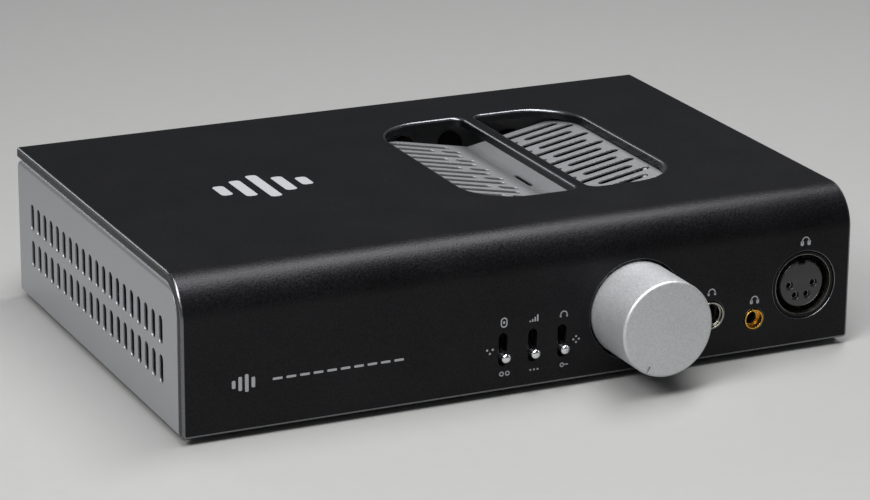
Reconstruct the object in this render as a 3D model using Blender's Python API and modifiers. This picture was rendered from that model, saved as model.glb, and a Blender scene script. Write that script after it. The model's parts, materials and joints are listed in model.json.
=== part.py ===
"""Desktop headphone amplifier, modelled as the sheet-metal assembly that it is.

Frame: metres, +Z up, +X to the right of someone facing the front, +Y to the back.
The origin is on the table, in the middle of the whole object's plan.
"""
import math

import bmesh
import bpy
from mathutils import Euler, Matrix, Vector

# Overall sizes
BODY_WIDTH = 0.2286            # nine inches over the side panels' cover
BODY_DEPTH = 0.1524            # six inches, front face to rear edge
BODY_HEIGHT = 0.0495           # case without its feet
FOOT_DROP = 0.0023             # how far the rubber feet stand below the case
KNOB_REACH = 0.021             # front face of the knob, in front of the case
REAR_REACH = 0.0075            # phono barrels, behind the case

# Sheet and fits
COVER_THICKNESS = 0.003        # aluminium front-and-top sheet
BEND_RADIUS = 0.013            # outside radius of its one big bend
SHEET = 0.0012                 # steel of the shell, tray and screen
REAR_SHEET = 0.0015
GAP = 0.0003                   # between pieces that touch
COVER_GAP = 0.00035            # between cover and shell
SIDE_INSET = 0.0003            # side panels, in from the cover's cut edge
SIDE_SETBACK = 0.0014          # side panels' front edge, behind the cover's inner face
REAR_SETBACK = 0.0005          # rear panel, in from the rear edge
SHELL_BEND = 0.0026            # outside radius between side and top
SHELL_FRONT_RADIUS = 0.010     # side panel's front top corner
SHELL_REAR_RADIUS = 0.004

# Slots in the side panels
SIDE_SLOTS = 20
SIDE_SLOT_PITCH = 0.0063
SIDE_SLOT_WIDTH = 0.003
SIDE_SLOT_LENGTH = 0.009
SIDE_ROW_HEIGHTS = (0.0165, 0.0290)    # above the case's lower edge

# Top vents and the folded screen under them
VENT_WIDTH = 0.0723
VENT_LENGTH = 0.0890
VENT_CORNER = 0.0178
VENT_BAR = 0.0045
VENT_BAR_CORNER = 0.0035
VENT_BACK_OFFSET = 0.0053      # vent centre, behind the middle of the case
SCREEN_BELOW_COVER = 0.0004    # screen's high edges, below the cover's inner face
SCREEN_FOLD_DEPTH = 0.0069     # its fold, below its high edges
SCREEN_RIM = 0.0364            # from the fold to the high edge
SCREEN_JOGGLE = 0.0022
SCREEN_FLANGE = 0.0056
SCREEN_OVERRUN = 0.0020        # screen past the vent's front end
SCREEN_SHORTFALL = 0.0015      # screen short of the vent's rear end
SCREEN_SLOT_PITCH = 0.0055
SCREEN_SLOT_WIDTH = 0.0021
SCREEN_SINGLE_SLOT = (0.0089, 0.0319)  # from the fold, every other row
SCREEN_SHORT_SLOT = (0.0069, 0.0142)
SCREEN_LONG_SLOT = (0.0167, 0.0360)
FOLD_SLOT_LENGTH = 0.013
FOLD_SLOT_WIDTH = 0.0016
OPENING_MARGIN = 0.0010        # shell opening, outside the joggle
OPENING_REAR_EXTRA = 0.0070    # shell opening, behind the screen

# Front row, laid out from the right-hand edge and the case's lower edge
PHONE_XLR_FROM_EDGE = 0.0168
PHONE_XLR_HEIGHT = 0.0200
BALANCED_FROM_XLR = 0.0180
BALANCED_HEIGHT = 0.0109
PHONE_FROM_XLR = 0.0336
PHONE_HEIGHT = 0.0143
VOLUME_FROM_XLR = 0.06025
VOLUME_HEIGHT = 0.0201
SWITCH_FROM_XLR = 0.09625
SWITCH_HEIGHT = 0.01343
SWITCH_PITCH = 0.01016

KNOB_RADIUS = 0.0155
KNOB_CLEARANCE = 0.0009        # around the knob in its panel hole
KNOB_SUNK = 0.0016             # knob's back, inside the panel hole
KNOB_BEVEL = 0.0010
KNOB_NOTCH_LENGTH = 0.0029
KNOB_NOTCH_WIDTH = 0.0008
KNOB_NOTCH_DEPTH = 0.0006
KNOB_REST_ANGLE = math.radians(157)    # notch, counter-clockwise from the top
SHAFT_RADIUS = 0.0030
SHAFT_IN_KNOB = 0.012
BUSHING_RADIUS = 0.0046
NUT_RADIUS = 0.0069            # over its corners
POT_WIDTH = 0.0200
POT_DEPTH = 0.0130
POT_SETBACK = 0.0078           # pot body, behind the front face
BRACKET_CLEARANCE = 0.0003

LEVER_TIP_RADIUS = 0.0015
LEVER_DOME = 0.00105           # height of its rounded end
LEVER_TIP_LENGTH = 0.0033
LEVER_NECK_RADIUS = 0.0011
LEVER_BALL_RADIUS = 0.0016
LEVER_LENGTH = 0.0114          # from the pivot
LEVER_PIVOT_DEPTH = 0.0080     # pivot, behind the front face
LEVER_TILT = math.radians(12.5)
SWITCH_SLOT_WIDTH = 0.0030
SWITCH_SLOT_HEIGHT = 0.0106
SWITCH_BODY_WIDTH = 0.0094
SWITCH_BODY_HEIGHT = 0.0102
SWITCH_BODY_DEPTH = 0.0115
SWITCH_NOSE = 0.00352          # switch body, in front of the pivot

PHONE_BORE = 0.0034
PHONE_RING_BORE = 0.0037
PHONE_RING_RADIUS = 0.00445
PHONE_RING_PROUD = 0.0004
BALANCED_BORE = 0.0021
BALANCED_RING_RADIUS = 0.00325
BALANCED_RING_PROUD = 0.0003
PHONE_JACK_BODY = (0.0130, 0.0240, 0.0060)     # width, depth, height above its bore's axis
BALANCED_JACK_BODY = (0.0084, 0.0170, 0.0040)
JACK_END_WALL = 0.0036

XLR_RADIUS = 0.0110
XLR_BORE = 0.0101
XLR_INSERT_RADIUS = 0.0078
XLR_DEPTH = 0.0160
XLR_INSERT_SUNK = 0.0013
XLR_CONTACT_CIRCLE = 0.0044
XLR_CONTACT_RADIUS = 0.0013
XLR_CONTACT_DEPTH = 0.0090
XLR_KEY_WIDTH = 0.0025
XLR_KEY_DEPTH = 0.0012
PANEL_CLEARANCE = 0.0003       # around rings and shells in their panel holes
PHONE_CONTACT_ANGLES = (-4, 184, 241, 299)
LINE_CONTACT_ANGLES = (10, 170, 270)

# Rear row: inlet and rocker from the left-hand edge (seen from the front), phonos and line XLRs
# from the right-hand edge, and the module cover fills what lies between
REAR_ROW_LIFT = 0.000675       # above the rear panel's middle
INLET_FROM_EDGE = 0.0270
INLET_FLANGE = (0.0300, 0.0225)
INLET_BODY = (0.0270, 0.0195)
INLET_CAVITY = (0.0244, 0.0169)
INLET_DEPTH = 0.0200
INLET_CAVITY_DEPTH = 0.0160
INLET_CAVITY_CORNER = 0.0040
BLADE = (0.0020, 0.0040, 0.0140)
BLADE_SPREAD = 0.0070
BLADE_STAGGER = 0.0020
ROCKER_FROM_EDGE = 0.0545
ROCKER_FLANGE = (0.0150, 0.0210)
ROCKER_BODY = (0.0128, 0.0188)
ROCKER_CAVITY = (0.0108, 0.0170)
ROCKER_SIDE_CLEARANCE = 0.0004
ROCKER_DEPTH = 0.0150
ROCKER_PIVOT_DEPTH = 0.0050
ROCKER_HALF_HEIGHT = 0.0076
ROCKER_RISE = 0.0046
ROCKER_DISH = 0.0009
ROCKER_BELLY = 0.0055
ROCKER_TILT = math.radians(10)
MODULE_HEIGHT = 0.0320
MODULE_BESIDE_ROCKER = 0.0055
MODULE_BESIDE_PHONOS = 0.0059
MODULE_LAP = 0.0030            # cover, past its window
PHONO_FROM_EDGE = (0.0896, 0.0716)
PHONO_ROW_SPREAD = 0.0090
PHONO_BARREL = 0.00415
PHONO_FLANGE = 0.0056
PHONO_BORE = 0.0017
PHONO_TAIL = 0.0029            # behind the panel's outer face
LINE_XLR_FROM_EDGE = (0.0486, 0.0236)
FLANGE_THICKNESS = 0.0012

# Feet, tray, board and what stands on it
FOOT_RADIUS = 0.0065
FOOT_INSET = 0.016
FOOT_CHAMFER = 0.0008
TRAY_LIFT = 0.0005
TRAY_FLANGE = 0.0080
SCREW_HEAD_RADIUS = 0.0027
SCREW_HEAD_HEIGHT = 0.0014
SCREW_INSET = (0.030, 0.010)
POST_RADIUS = 0.0030
POST_HEIGHT = 0.0040
POST_INSET = 0.014
BOARD_THICKNESS = 0.0016
BOARD_SIDE_MARGIN = 0.0080
BOARD_FRONT_MARGIN = 0.0030
BOARD_REAR_MARGIN = 0.0060
CORE_STACK = 0.0220                    # laminations, along the case
CORE_BESIDE_SHELL = 0.0160
CORE_BESIDE_CAPACITORS = 0.0128
CORE_BEHIND_FRONT = 0.0700
LAMINATION_UNITS = 6                   # a lamination's width: leg, window, centre leg of two, window, leg
COIL_OVERHANG = 0.0070
TALL_PART_HEADROOM = 0.0050
CAPACITOR_RADIUS = 0.0085
CAPACITOR_HEIGHT = 0.0250
CAPACITOR_SPACING = 0.0205
CAPACITOR_LEFT_OF_VENT = 0.0560
CAPACITOR_BEHIND_FRONT = 0.0600
SINK_WIDTH = 0.0340
SINK_LENGTH = 0.0550
SINK_BASE = 0.0030
SINK_HEIGHT = 0.0170
SINK_FINS = 7
SINK_FIN = 0.0018
TRANSISTOR = (0.0045, 0.0100, 0.0150)
TRANSISTOR_PITCH = 0.0135

HOLE_STEPS = 40
CIRCLE_STEPS = 32
SMALL_STEPS = 20

# Places worked out from the sizes above
HALF_WIDTH = BODY_WIDTH / 2
FRONT_Y = -(BODY_DEPTH - KNOB_REACH + REAR_REACH) / 2
REAR_Y = FRONT_Y + BODY_DEPTH
BASE_Z = FOOT_DROP
TOP_Z = BASE_Z + BODY_HEIGHT
COVER_INNER_Y = FRONT_Y + COVER_THICKNESS
SHELL_TOP = TOP_Z - COVER_THICKNESS - COVER_GAP
SHELL_SIDE = HALF_WIDTH - SIDE_INSET
SHELL_FRONT = COVER_INNER_Y + SIDE_SETBACK
TRAY_HALF = SHELL_SIDE - SHEET - GAP
TRAY_BOTTOM = BASE_Z + TRAY_LIFT
TRAY_TOP = TRAY_BOTTOM + SHEET
PANEL_OUTER_Y = REAR_Y - REAR_SETBACK
PANEL_INNER_Y = PANEL_OUTER_Y - REAR_SHEET
POST_BOTTOM = TRAY_TOP + GAP
BOARD_BOTTOM = POST_BOTTOM + POST_HEIGHT + GAP
BOARD_TOP = BOARD_BOTTOM + BOARD_THICKNESS
PART_FLOOR = BOARD_TOP + GAP
XLR_X = HALF_WIDTH - PHONE_XLR_FROM_EDGE
VOLUME_X = XLR_X - VOLUME_FROM_XLR
VENT_Y = (FRONT_Y + REAR_Y) / 2 + VENT_BACK_OFFSET
SCREEN_FRONT = VENT_Y - VENT_LENGTH / 2 - SCREEN_OVERRUN
SCREEN_REAR = VENT_Y + VENT_LENGTH / 2 - SCREEN_SHORTFALL
REAR_ROW_Z = (TRAY_BOTTOM + SHELL_TOP) / 2 + REAR_ROW_LIFT

FACE_FRONT = Euler((math.pi / 2, 0, 0))        # a turned shape's top faces -Y
FACE_REAR = Euler((-math.pi / 2, 0, 0))        # and +Y
FACE_UP = Euler((0, 0, 0))


# Scene, collections and materials
def clear_scene():
    for obj in list(bpy.data.objects):
        bpy.data.objects.remove(obj)


def new_collection(name):
    collection = bpy.data.collections.new(name)
    bpy.context.scene.collection.children.link(collection)
    return collection


def new_material(name, colour, metallic, roughness):
    material = bpy.data.materials.new(name)
    material.use_nodes = True
    shader = material.node_tree.nodes["Principled BSDF"]
    shader.inputs["Base Color"].default_value = (*colour, 1)
    shader.inputs["Metallic"].default_value = metallic
    shader.inputs["Roughness"].default_value = roughness
    material.diffuse_color = (*colour, 1)
    return material


def put(obj, collection, material=None):
    collection.objects.link(obj)
    if material:
        obj.data.materials.append(material)
    return obj


def as_cutter(obj):
    obj.hide_render = True
    obj.display_type = 'WIRE'
    return obj


def boolean(obj, other, operation='DIFFERENCE'):
    modifier = obj.modifiers.new(other.name, 'BOOLEAN')
    modifier.operation = operation
    modifier.solver = 'EXACT'
    modifier.object = other


# Outlines, as lists of (u, v)
def arc(centre, radius, start, end, steps):
    angles = [math.radians(start + (end - start) * i / steps) for i in range(steps + 1)]
    return [(centre[0] + radius * math.cos(a), centre[1] + radius * math.sin(a)) for a in angles]


def circle(centre, radius, steps=CIRCLE_STEPS):
    return arc(centre, radius, 0, 360, steps)[:-1]


def rectangle(centre, size):
    u, v = centre
    half_u, half_v = size[0] / 2, size[1] / 2
    corners = [(-half_u, -half_v), (half_u, -half_v), (half_u, half_v), (-half_u, half_v)]
    return [(u + to_u, v + to_v) for to_u, to_v in corners]


def rounded_rectangle(low, high, radii, steps=5):
    """Corner radii in the order low-low, high-low, high-high, low-high."""
    corners = [(low[0], low[1], 1, 1), (high[0], low[1], -1, 1),
               (high[0], high[1], -1, -1), (low[0], high[1], 1, -1)]
    points = []
    for (u, v, in_u, in_v), radius, start in zip(corners, radii, (180, 270, 0, 90)):
        if radius:
            points += arc((u + in_u * radius, v + in_v * radius), radius, start, start + 90, steps)
        else:
            points.append((u, v))
    return points


def obround(centre, length, width, upright=True, steps=4):
    u, v = centre
    reach = (length - width) / 2
    radius = width / 2
    if upright:
        return arc((u, v + reach), radius, 0, 180, steps) + arc((u, v - reach), radius, 180, 360, steps)
    return arc((u + reach, v), radius, -90, 90, steps) + arc((u - reach, v), radius, 90, 270, steps)


def thick_line(points, thickness):
    """A strip of even thickness below a line that runs from left to right."""
    below = []
    for i, point in enumerate(points):
        here = Vector(point)
        before = here - Vector(points[i - 1]) if i else Vector(points[1]) - here
        after = Vector(points[i + 1]) - here if i + 1 < len(points) else before
        before.normalize()
        after.normalize()
        bisector = (before + after).normalized()
        normal = Vector((bisector.y, -bisector.x))
        below.append(tuple(here + normal * thickness / bisector.dot(before)))
    return points + below[::-1]


# Solids
AXIS_FRAMES = {
    'X': Matrix(((0, 0, 1), (1, 0, 0), (0, 1, 0))),     # u, v run along Y, Z
    'Y': Matrix(((1, 0, 0), (0, 0, -1), (0, 1, 0))),    # u, v run along X, Z
    'Z': Matrix.Identity(3),                            # u, v run along X, Y
}


def prism(name, loops, axis, low, high, collection, material=None, origin=(0, 0, 0)):
    """Extrudes flat outlines along an axis; an outline inside another is a hole."""
    curve = bpy.data.curves.new(name, 'CURVE')
    curve.dimensions = '2D'
    curve.fill_mode = 'BOTH'
    curve.resolution_u = 1
    curve.extrude = (high - low) / 2
    for loop in loops:
        spline = curve.splines.new('POLY')
        spline.points.add(len(loop) - 1)
        for point, (u, v) in zip(spline.points, loop):
            point.co = (u, v, 0, 1)
        spline.use_cyclic_u = True
    guide = bpy.data.objects.new(name + "_outline", curve)
    collection.objects.link(guide)
    along = Vector(('XYZ'.index(axis) == 0, 'XYZ'.index(axis) == 1, 'XYZ'.index(axis) == 2))
    place = Vector(origin) + along * (low + high) / 2
    guide.matrix_world = Matrix.Translation(place) @ AXIS_FRAMES[axis].to_4x4()
    depsgraph = bpy.context.evaluated_depsgraph_get()
    mesh = bpy.data.meshes.new_from_object(guide.evaluated_get(depsgraph))
    mesh.name = name
    mesh.transform(Matrix.Translation(-Vector(origin)) @ guide.matrix_world)
    bpy.data.objects.remove(guide)
    weld(mesh)
    obj = bpy.data.objects.new(name, mesh)
    obj.location = origin
    return put(obj, collection, material)


def weld(mesh):
    bm = bmesh.new()
    bm.from_mesh(mesh)
    bmesh.ops.remove_doubles(bm, verts=bm.verts, dist=1e-6)
    bmesh.ops.recalc_face_normals(bm, faces=bm.faces)
    bm.to_mesh(mesh)
    bm.free()


def box(name, low, high, collection, material=None):
    low, high = Vector(low), Vector(high)
    bm = bmesh.new()
    bmesh.ops.create_cube(bm, size=1)
    size = Matrix.Diagonal(high - low).to_4x4()
    bmesh.ops.transform(bm, matrix=Matrix.Translation((low + high) / 2) @ size, verts=bm.verts)
    mesh = bpy.data.meshes.new(name)
    bm.to_mesh(mesh)
    bm.free()
    return put(bpy.data.objects.new(name, mesh), collection, material)


def turned(name, profile, place, facing, collection, material=None, steps=CIRCLE_STEPS, ring=False):
    """Turns (radius, height) points, listed down the outer side, about their own Z."""
    mesh = bpy.data.meshes.new(name)
    edges = [(i, i + 1) for i in range(len(profile) - 1)]
    if ring:
        edges.append((len(profile) - 1, 0))
    mesh.from_pydata([(radius, 0, height) for radius, height in profile], edges, [])
    obj = bpy.data.objects.new(name, mesh)
    obj.location = place
    obj.rotation_euler = facing
    screw = obj.modifiers.new("turn", 'SCREW')
    screw.steps = steps
    screw.render_steps = steps
    screw.use_merge_vertices = True
    screw.merge_threshold = 1e-6
    screw.use_smooth_shade = True
    return put(obj, collection, material)


def tube_profile(outer, inner, high, low):
    return [(outer, high), (outer, low), (inner, low), (inner, high)]


# The case
def make_cover():
    bend = (FRONT_Y + BEND_RADIUS, TOP_Z - BEND_RADIUS)
    outside = [(FRONT_Y, BASE_Z)] + arc(bend, BEND_RADIUS, 180, 90, 10) + [(REAR_Y, TOP_Z)]
    inside = [(REAR_Y, TOP_Z - COVER_THICKNESS)]
    inside += arc(bend, BEND_RADIUS - COVER_THICKNESS, 90, 180, 10) + [(COVER_INNER_Y, BASE_Z)]
    cover = prism("wrap_cover", [outside + inside], 'X', -HALF_WIDTH, HALF_WIDTH, parts, black_cover)
    bar = VENT_BAR / 2
    side = VENT_WIDTH / 2
    low, high = VENT_Y - VENT_LENGTH / 2, VENT_Y + VENT_LENGTH / 2
    big, small = VENT_CORNER, VENT_BAR_CORNER
    vents = [rounded_rectangle((VOLUME_X - side, low), (VOLUME_X - bar, high), (big, small, small, big)),
             rounded_rectangle((VOLUME_X + bar, low), (VOLUME_X + side, high), (small, big, big, small))]
    boolean(cover, as_cutter(prism("vent_cut", vents, 'Z', SHELL_TOP, TOP_Z + COVER_THICKNESS, cutters)))
    balanced = (XLR_X - BALANCED_FROM_XLR, BASE_Z + BALANCED_HEIGHT)
    holes = [circle((VOLUME_X, BASE_Z + VOLUME_HEIGHT), KNOB_RADIUS + KNOB_CLEARANCE, HOLE_STEPS),
             circle((XLR_X, BASE_Z + PHONE_XLR_HEIGHT), XLR_RADIUS + PANEL_CLEARANCE, HOLE_STEPS),
             circle((XLR_X - PHONE_FROM_XLR, BASE_Z + PHONE_HEIGHT), PHONE_RING_RADIUS + PANEL_CLEARANCE),
             circle(balanced, BALANCED_RING_RADIUS + PANEL_CLEARANCE)]
    for x in switch_places():
        holes.append(obround((x, BASE_Z + SWITCH_HEIGHT), SWITCH_SLOT_HEIGHT, SWITCH_SLOT_WIDTH))
    front, behind = FRONT_Y - COVER_THICKNESS, FRONT_Y + BEND_RADIUS
    boolean(cover, as_cutter(prism("front_cut", holes, 'Y', front, behind, cutters)))


def switch_places():
    return [XLR_X - SWITCH_FROM_XLR + SWITCH_PITCH * i for i in (-1, 0, 1)]


def make_shell():
    low = BASE_Z + GAP
    bend = SHELL_BEND
    inner_bend = SHELL_BEND - SHEET
    centre_x, centre_z = SHELL_SIDE - bend, SHELL_TOP - bend
    outside = [(SHELL_SIDE, low)] + arc((centre_x, centre_z), bend, 0, 90, 4)
    outside += arc((-centre_x, centre_z), bend, 90, 180, 4) + [(-SHELL_SIDE, low)]
    inside = [(SHEET - SHELL_SIDE, low)] + arc((-centre_x, centre_z), inner_bend, 180, 90, 4)
    inside += arc((centre_x, centre_z), inner_bend, 90, 0, 4) + [(SHELL_SIDE - SHEET, low)]
    rear = REAR_Y - GAP
    shell = prism("inner_shell", [outside + inside], 'Y', SHELL_FRONT, rear, parts, silver_steel)
    past = SHEET
    corners = (0, 0, SHELL_REAR_RADIUS, SHELL_FRONT_RADIUS)
    outline = rounded_rectangle((SHELL_FRONT, low - past), (rear, SHELL_TOP), corners, 8)
    side_shape = prism("side_outline", [outline], 'X', -HALF_WIDTH, HALF_WIDTH, cutters)
    boolean(shell, as_cutter(side_shape), 'INTERSECT')
    half = SCREEN_RIM + SCREEN_JOGGLE + OPENING_MARGIN
    opening = rounded_rectangle((VOLUME_X - half, SCREEN_FRONT - OPENING_MARGIN),
                                (VOLUME_X + half, SCREEN_REAR + OPENING_REAR_EXTRA), (VENT_BAR_CORNER,) * 4)
    opening_low = SHELL_TOP - SHELL_BEND
    boolean(shell, as_cutter(prism("opening_cut", [opening], 'Z', opening_low, TOP_Z, cutters)))
    middle = (SHELL_FRONT + rear) / 2
    slots = []
    for height in SIDE_ROW_HEIGHTS:
        for i in range(SIDE_SLOTS):
            y = middle + (i - (SIDE_SLOTS - 1) / 2) * SIDE_SLOT_PITCH
            slots.append(obround((y, BASE_Z + height), SIDE_SLOT_LENGTH, SIDE_SLOT_WIDTH, steps=3))
    boolean(shell, as_cutter(prism("side_slots", slots, 'X', -BODY_WIDTH, BODY_WIDTH, cutters)))


def screen_height(from_fold):
    rim = TOP_Z - COVER_THICKNESS - SCREEN_BELOW_COVER
    return rim - SCREEN_FOLD_DEPTH * (1 - from_fold / SCREEN_RIM)


def make_vent_screen():
    flange_z = SHELL_TOP - SHEET - GAP
    rim_z = screen_height(SCREEN_RIM)
    foot = SCREEN_RIM + SCREEN_JOGGLE
    half = [(foot + SCREEN_FLANGE, flange_z), (foot, flange_z), (SCREEN_RIM, rim_z)]
    line = [(VOLUME_X - u, z) for u, z in half] + [(VOLUME_X, screen_height(0))]
    line += [(VOLUME_X + u, z) for u, z in half[::-1]]
    strip = thick_line(line, SHEET)
    screen = prism("vent_screen", [strip], 'Y', SCREEN_FRONT, SCREEN_REAR, parts, silver_steel)
    rows = int(VENT_LENGTH / SCREEN_SLOT_PITCH / 2)
    slots = []
    for row in range(-rows, rows + 1):
        y = VENT_Y + row * SCREEN_SLOT_PITCH
        if not SCREEN_FRONT + SCREEN_SLOT_WIDTH < y < SCREEN_REAR - SCREEN_SLOT_WIDTH:
            continue
        spans = [SCREEN_SINGLE_SLOT] if row % 2 else [SCREEN_SHORT_SLOT, SCREEN_LONG_SLOT]
        for near, far in spans:
            for side in (-1, 1):
                centre = (VOLUME_X + side * (near + far) / 2, y)
                slots.append(obround(centre, far - near, SCREEN_SLOT_WIDTH, upright=False, steps=3))
    slots.append(obround((VOLUME_X, VENT_Y), FOLD_SLOT_LENGTH, FOLD_SLOT_WIDTH, steps=3))
    cut_low = screen_height(0) - SHELL_BEND
    boolean(screen, as_cutter(prism("screen_slots", slots, 'Z', cut_low, TOP_Z, cutters)))


def make_tray():
    flange_top = TRAY_BOTTOM + TRAY_FLANGE
    inner = TRAY_HALF - SHEET
    right = [(TRAY_HALF, TRAY_BOTTOM), (TRAY_HALF, flange_top), (inner, flange_top), (inner, TRAY_TOP)]
    outline = right + [(-x, z) for x, z in right[::-1]]
    prism("base_tray", [outline], 'Y', COVER_INNER_Y + GAP, PANEL_INNER_Y - GAP, parts, silver_steel)
    for side, x in (("left", FOOT_INSET - HALF_WIDTH), ("right", HALF_WIDTH - FOOT_INSET)):
        for end, y in (("front", FRONT_Y + FOOT_INSET), ("rear", REAR_Y - FOOT_INSET)):
            height = TRAY_BOTTOM - GAP
            profile = [(0, height), (FOOT_RADIUS, height), (FOOT_RADIUS, FOOT_CHAMFER),
                       (FOOT_RADIUS - FOOT_CHAMFER, 0), (0, 0)]
            turned(f"foot_{end}_{side}", profile, (x, y, 0), FACE_UP, parts, rubber, 24)
        for end, y in (("front", FRONT_Y + SCREW_INSET[1]), ("rear", REAR_Y - SCREW_INSET[1])):
            x_screw = math.copysign(HALF_WIDTH - SCREW_INSET[0], x)
            top = TRAY_BOTTOM - GAP
            low = top - SCREW_HEAD_HEIGHT
            rim = SCREW_HEAD_RADIUS
            profile = [(0, top), (rim, top), (rim, (top + low) / 2), (rim / 2, low), (0, low)]
            turned(f"base_screw_{end}_{side}", profile, (x_screw, y, 0), FACE_UP, parts, dark_screw, 12)


def make_rear_panel():
    outer, inner = PANEL_OUTER_Y, PANEL_INNER_Y
    ear = inner - TRAY_FLANGE
    half = TRAY_HALF
    right = [(half - SHEET, inner), (half - SHEET, ear), (half, ear), (half, outer)]
    outline = right + [(-x, y) for x, y in right[::-1]]
    low = TRAY_BOTTOM + TRAY_FLANGE + GAP
    high = SHELL_TOP - SHELL_BEND
    middle = (low + high) / 2
    panel = prism("rear_panel", [outline], 'Z', low, high, parts, silver_steel)
    reach = half - SHEET - GAP
    sill = box("panel_sill", (-reach, inner, TRAY_BOTTOM), (reach, outer, middle), cutters)
    boolean(panel, as_cutter(sill), 'UNION')
    holes = [rectangle((inlet_x(), REAR_ROW_Z), grown(INLET_BODY)),
             rectangle((rocker_x(), REAR_ROW_Z), grown(ROCKER_BODY)),
             module_plate(MODULE_LAP)]
    holes += [circle((x, REAR_ROW_Z), XLR_RADIUS + PANEL_CLEARANCE, 40) for x in line_xlr_places()]
    holes += [circle((x, z), PHONO_BARREL + PANEL_CLEARANCE, SMALL_STEPS) for x, z in phono_places()]
    boolean(panel, as_cutter(prism("rear_cut", holes, 'Y', inner - GAP, outer + COVER_THICKNESS, cutters)))


def grown(size):
    return size[0] + 2 * PANEL_CLEARANCE, size[1] + 2 * PANEL_CLEARANCE


def inlet_x():
    return INLET_FROM_EDGE - HALF_WIDTH


def rocker_x():
    return ROCKER_FROM_EDGE - HALF_WIDTH


def module_plate(lap=0):
    """The blank cover's outline, or with a lap that of the window under it."""
    left = rocker_x() + ROCKER_FLANGE[0] / 2 + MODULE_BESIDE_ROCKER
    right = HALF_WIDTH - PHONO_FROM_EDGE[0] - PHONO_FLANGE - MODULE_BESIDE_PHONOS
    return rectangle(((left + right) / 2, REAR_ROW_Z), (right - left - 2 * lap, MODULE_HEIGHT - 2 * lap))


def line_xlr_places():
    return [HALF_WIDTH - x for x in LINE_XLR_FROM_EDGE]


def phono_places():
    heights = [REAR_ROW_Z + side * PHONO_ROW_SPREAD for side in (1, -1)]
    return [(HALF_WIDTH - x, z) for x in PHONO_FROM_EDGE for z in heights]


# Front controls
def make_volume():
    z = BASE_Z + VOLUME_HEIGHT
    place = (VOLUME_X, FRONT_Y, z)
    bore = SHAFT_RADIUS + GAP
    back = -KNOB_SUNK
    rim = KNOB_RADIUS - KNOB_BEVEL
    knob_profile = [(0, KNOB_REACH), (rim, KNOB_REACH), (KNOB_RADIUS, KNOB_REACH - KNOB_BEVEL),
                    (KNOB_RADIUS, back), (bore, back), (bore, SHAFT_IN_KNOB + GAP), (0, SHAFT_IN_KNOB + GAP)]
    knob = turned("volume_knob", knob_profile, place, FACE_FRONT, parts, blasted_aluminium, 48)
    notch_low = (-KNOB_NOTCH_WIDTH / 2, -KNOB_NOTCH_DEPTH, KNOB_RADIUS - KNOB_NOTCH_LENGTH)
    notch_high = (KNOB_NOTCH_WIDTH / 2, KNOB_NOTCH_DEPTH, KNOB_RADIUS + KNOB_BEVEL)
    notch = box("knob_notch", notch_low, notch_high, cutters)
    notch.location = (VOLUME_X, FRONT_Y - KNOB_REACH, z)
    notch.rotation_euler = (0, -KNOB_REST_ANGLE, 0)
    boolean(knob, as_cutter(notch))
    pot_y = FRONT_Y + POT_SETBACK
    deep = -(POT_SETBACK + POT_DEPTH / 2)
    shaft_profile = [(0, SHAFT_IN_KNOB), (SHAFT_RADIUS, SHAFT_IN_KNOB), (SHAFT_RADIUS, deep), (0, deep)]
    turned("volume_shaft", shaft_profile, place, FACE_FRONT, parts, steel, SMALL_STEPS)
    half = POT_WIDTH / 2
    left, right, top = VOLUME_X - half, VOLUME_X + half, z + half
    body = box("pot_body", (left, pot_y, PART_FLOOR), (right, pot_y + POT_DEPTH, top), parts, zinc)
    nose_top = -(KNOB_SUNK + GAP)
    nose_profile = [(0, nose_top), (BUSHING_RADIUS, nose_top), (BUSHING_RADIUS, deep), (0, deep)]
    nose = turned("pot_nose", nose_profile, place, FACE_FRONT, cutters, steps=SMALL_STEPS)
    boolean(body, as_cutter(nose), 'UNION')
    bore_low = deep - GAP
    bore_profile = [(0, KNOB_SUNK), (bore, KNOB_SUNK), (bore, bore_low), (0, bore_low)]
    bore_cut = turned("pot_bore", bore_profile, place, FACE_FRONT, cutters, steps=SMALL_STEPS)
    boolean(body, as_cutter(bore_cut))
    bracket_back = pot_y - GAP
    bracket_front = bracket_back - SHEET
    bracket = box("pot_bracket", (left, bracket_front, PART_FLOOR), (right, bracket_back, top), parts, steel)
    hole = circle((VOLUME_X, z), BUSHING_RADIUS + BRACKET_CLEARANCE, SMALL_STEPS)
    boolean(bracket, as_cutter(prism("bracket_hole", [hole], 'Y', FRONT_Y, bracket_back + SHEET, cutters)))
    nut_back = bracket_front - GAP
    nut_front = nut_back - SHEET
    nut = [circle((VOLUME_X, z), NUT_RADIUS, 6), hole]
    prism("pot_nut", nut, 'Y', nut_front, nut_back, parts, steel)


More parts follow.
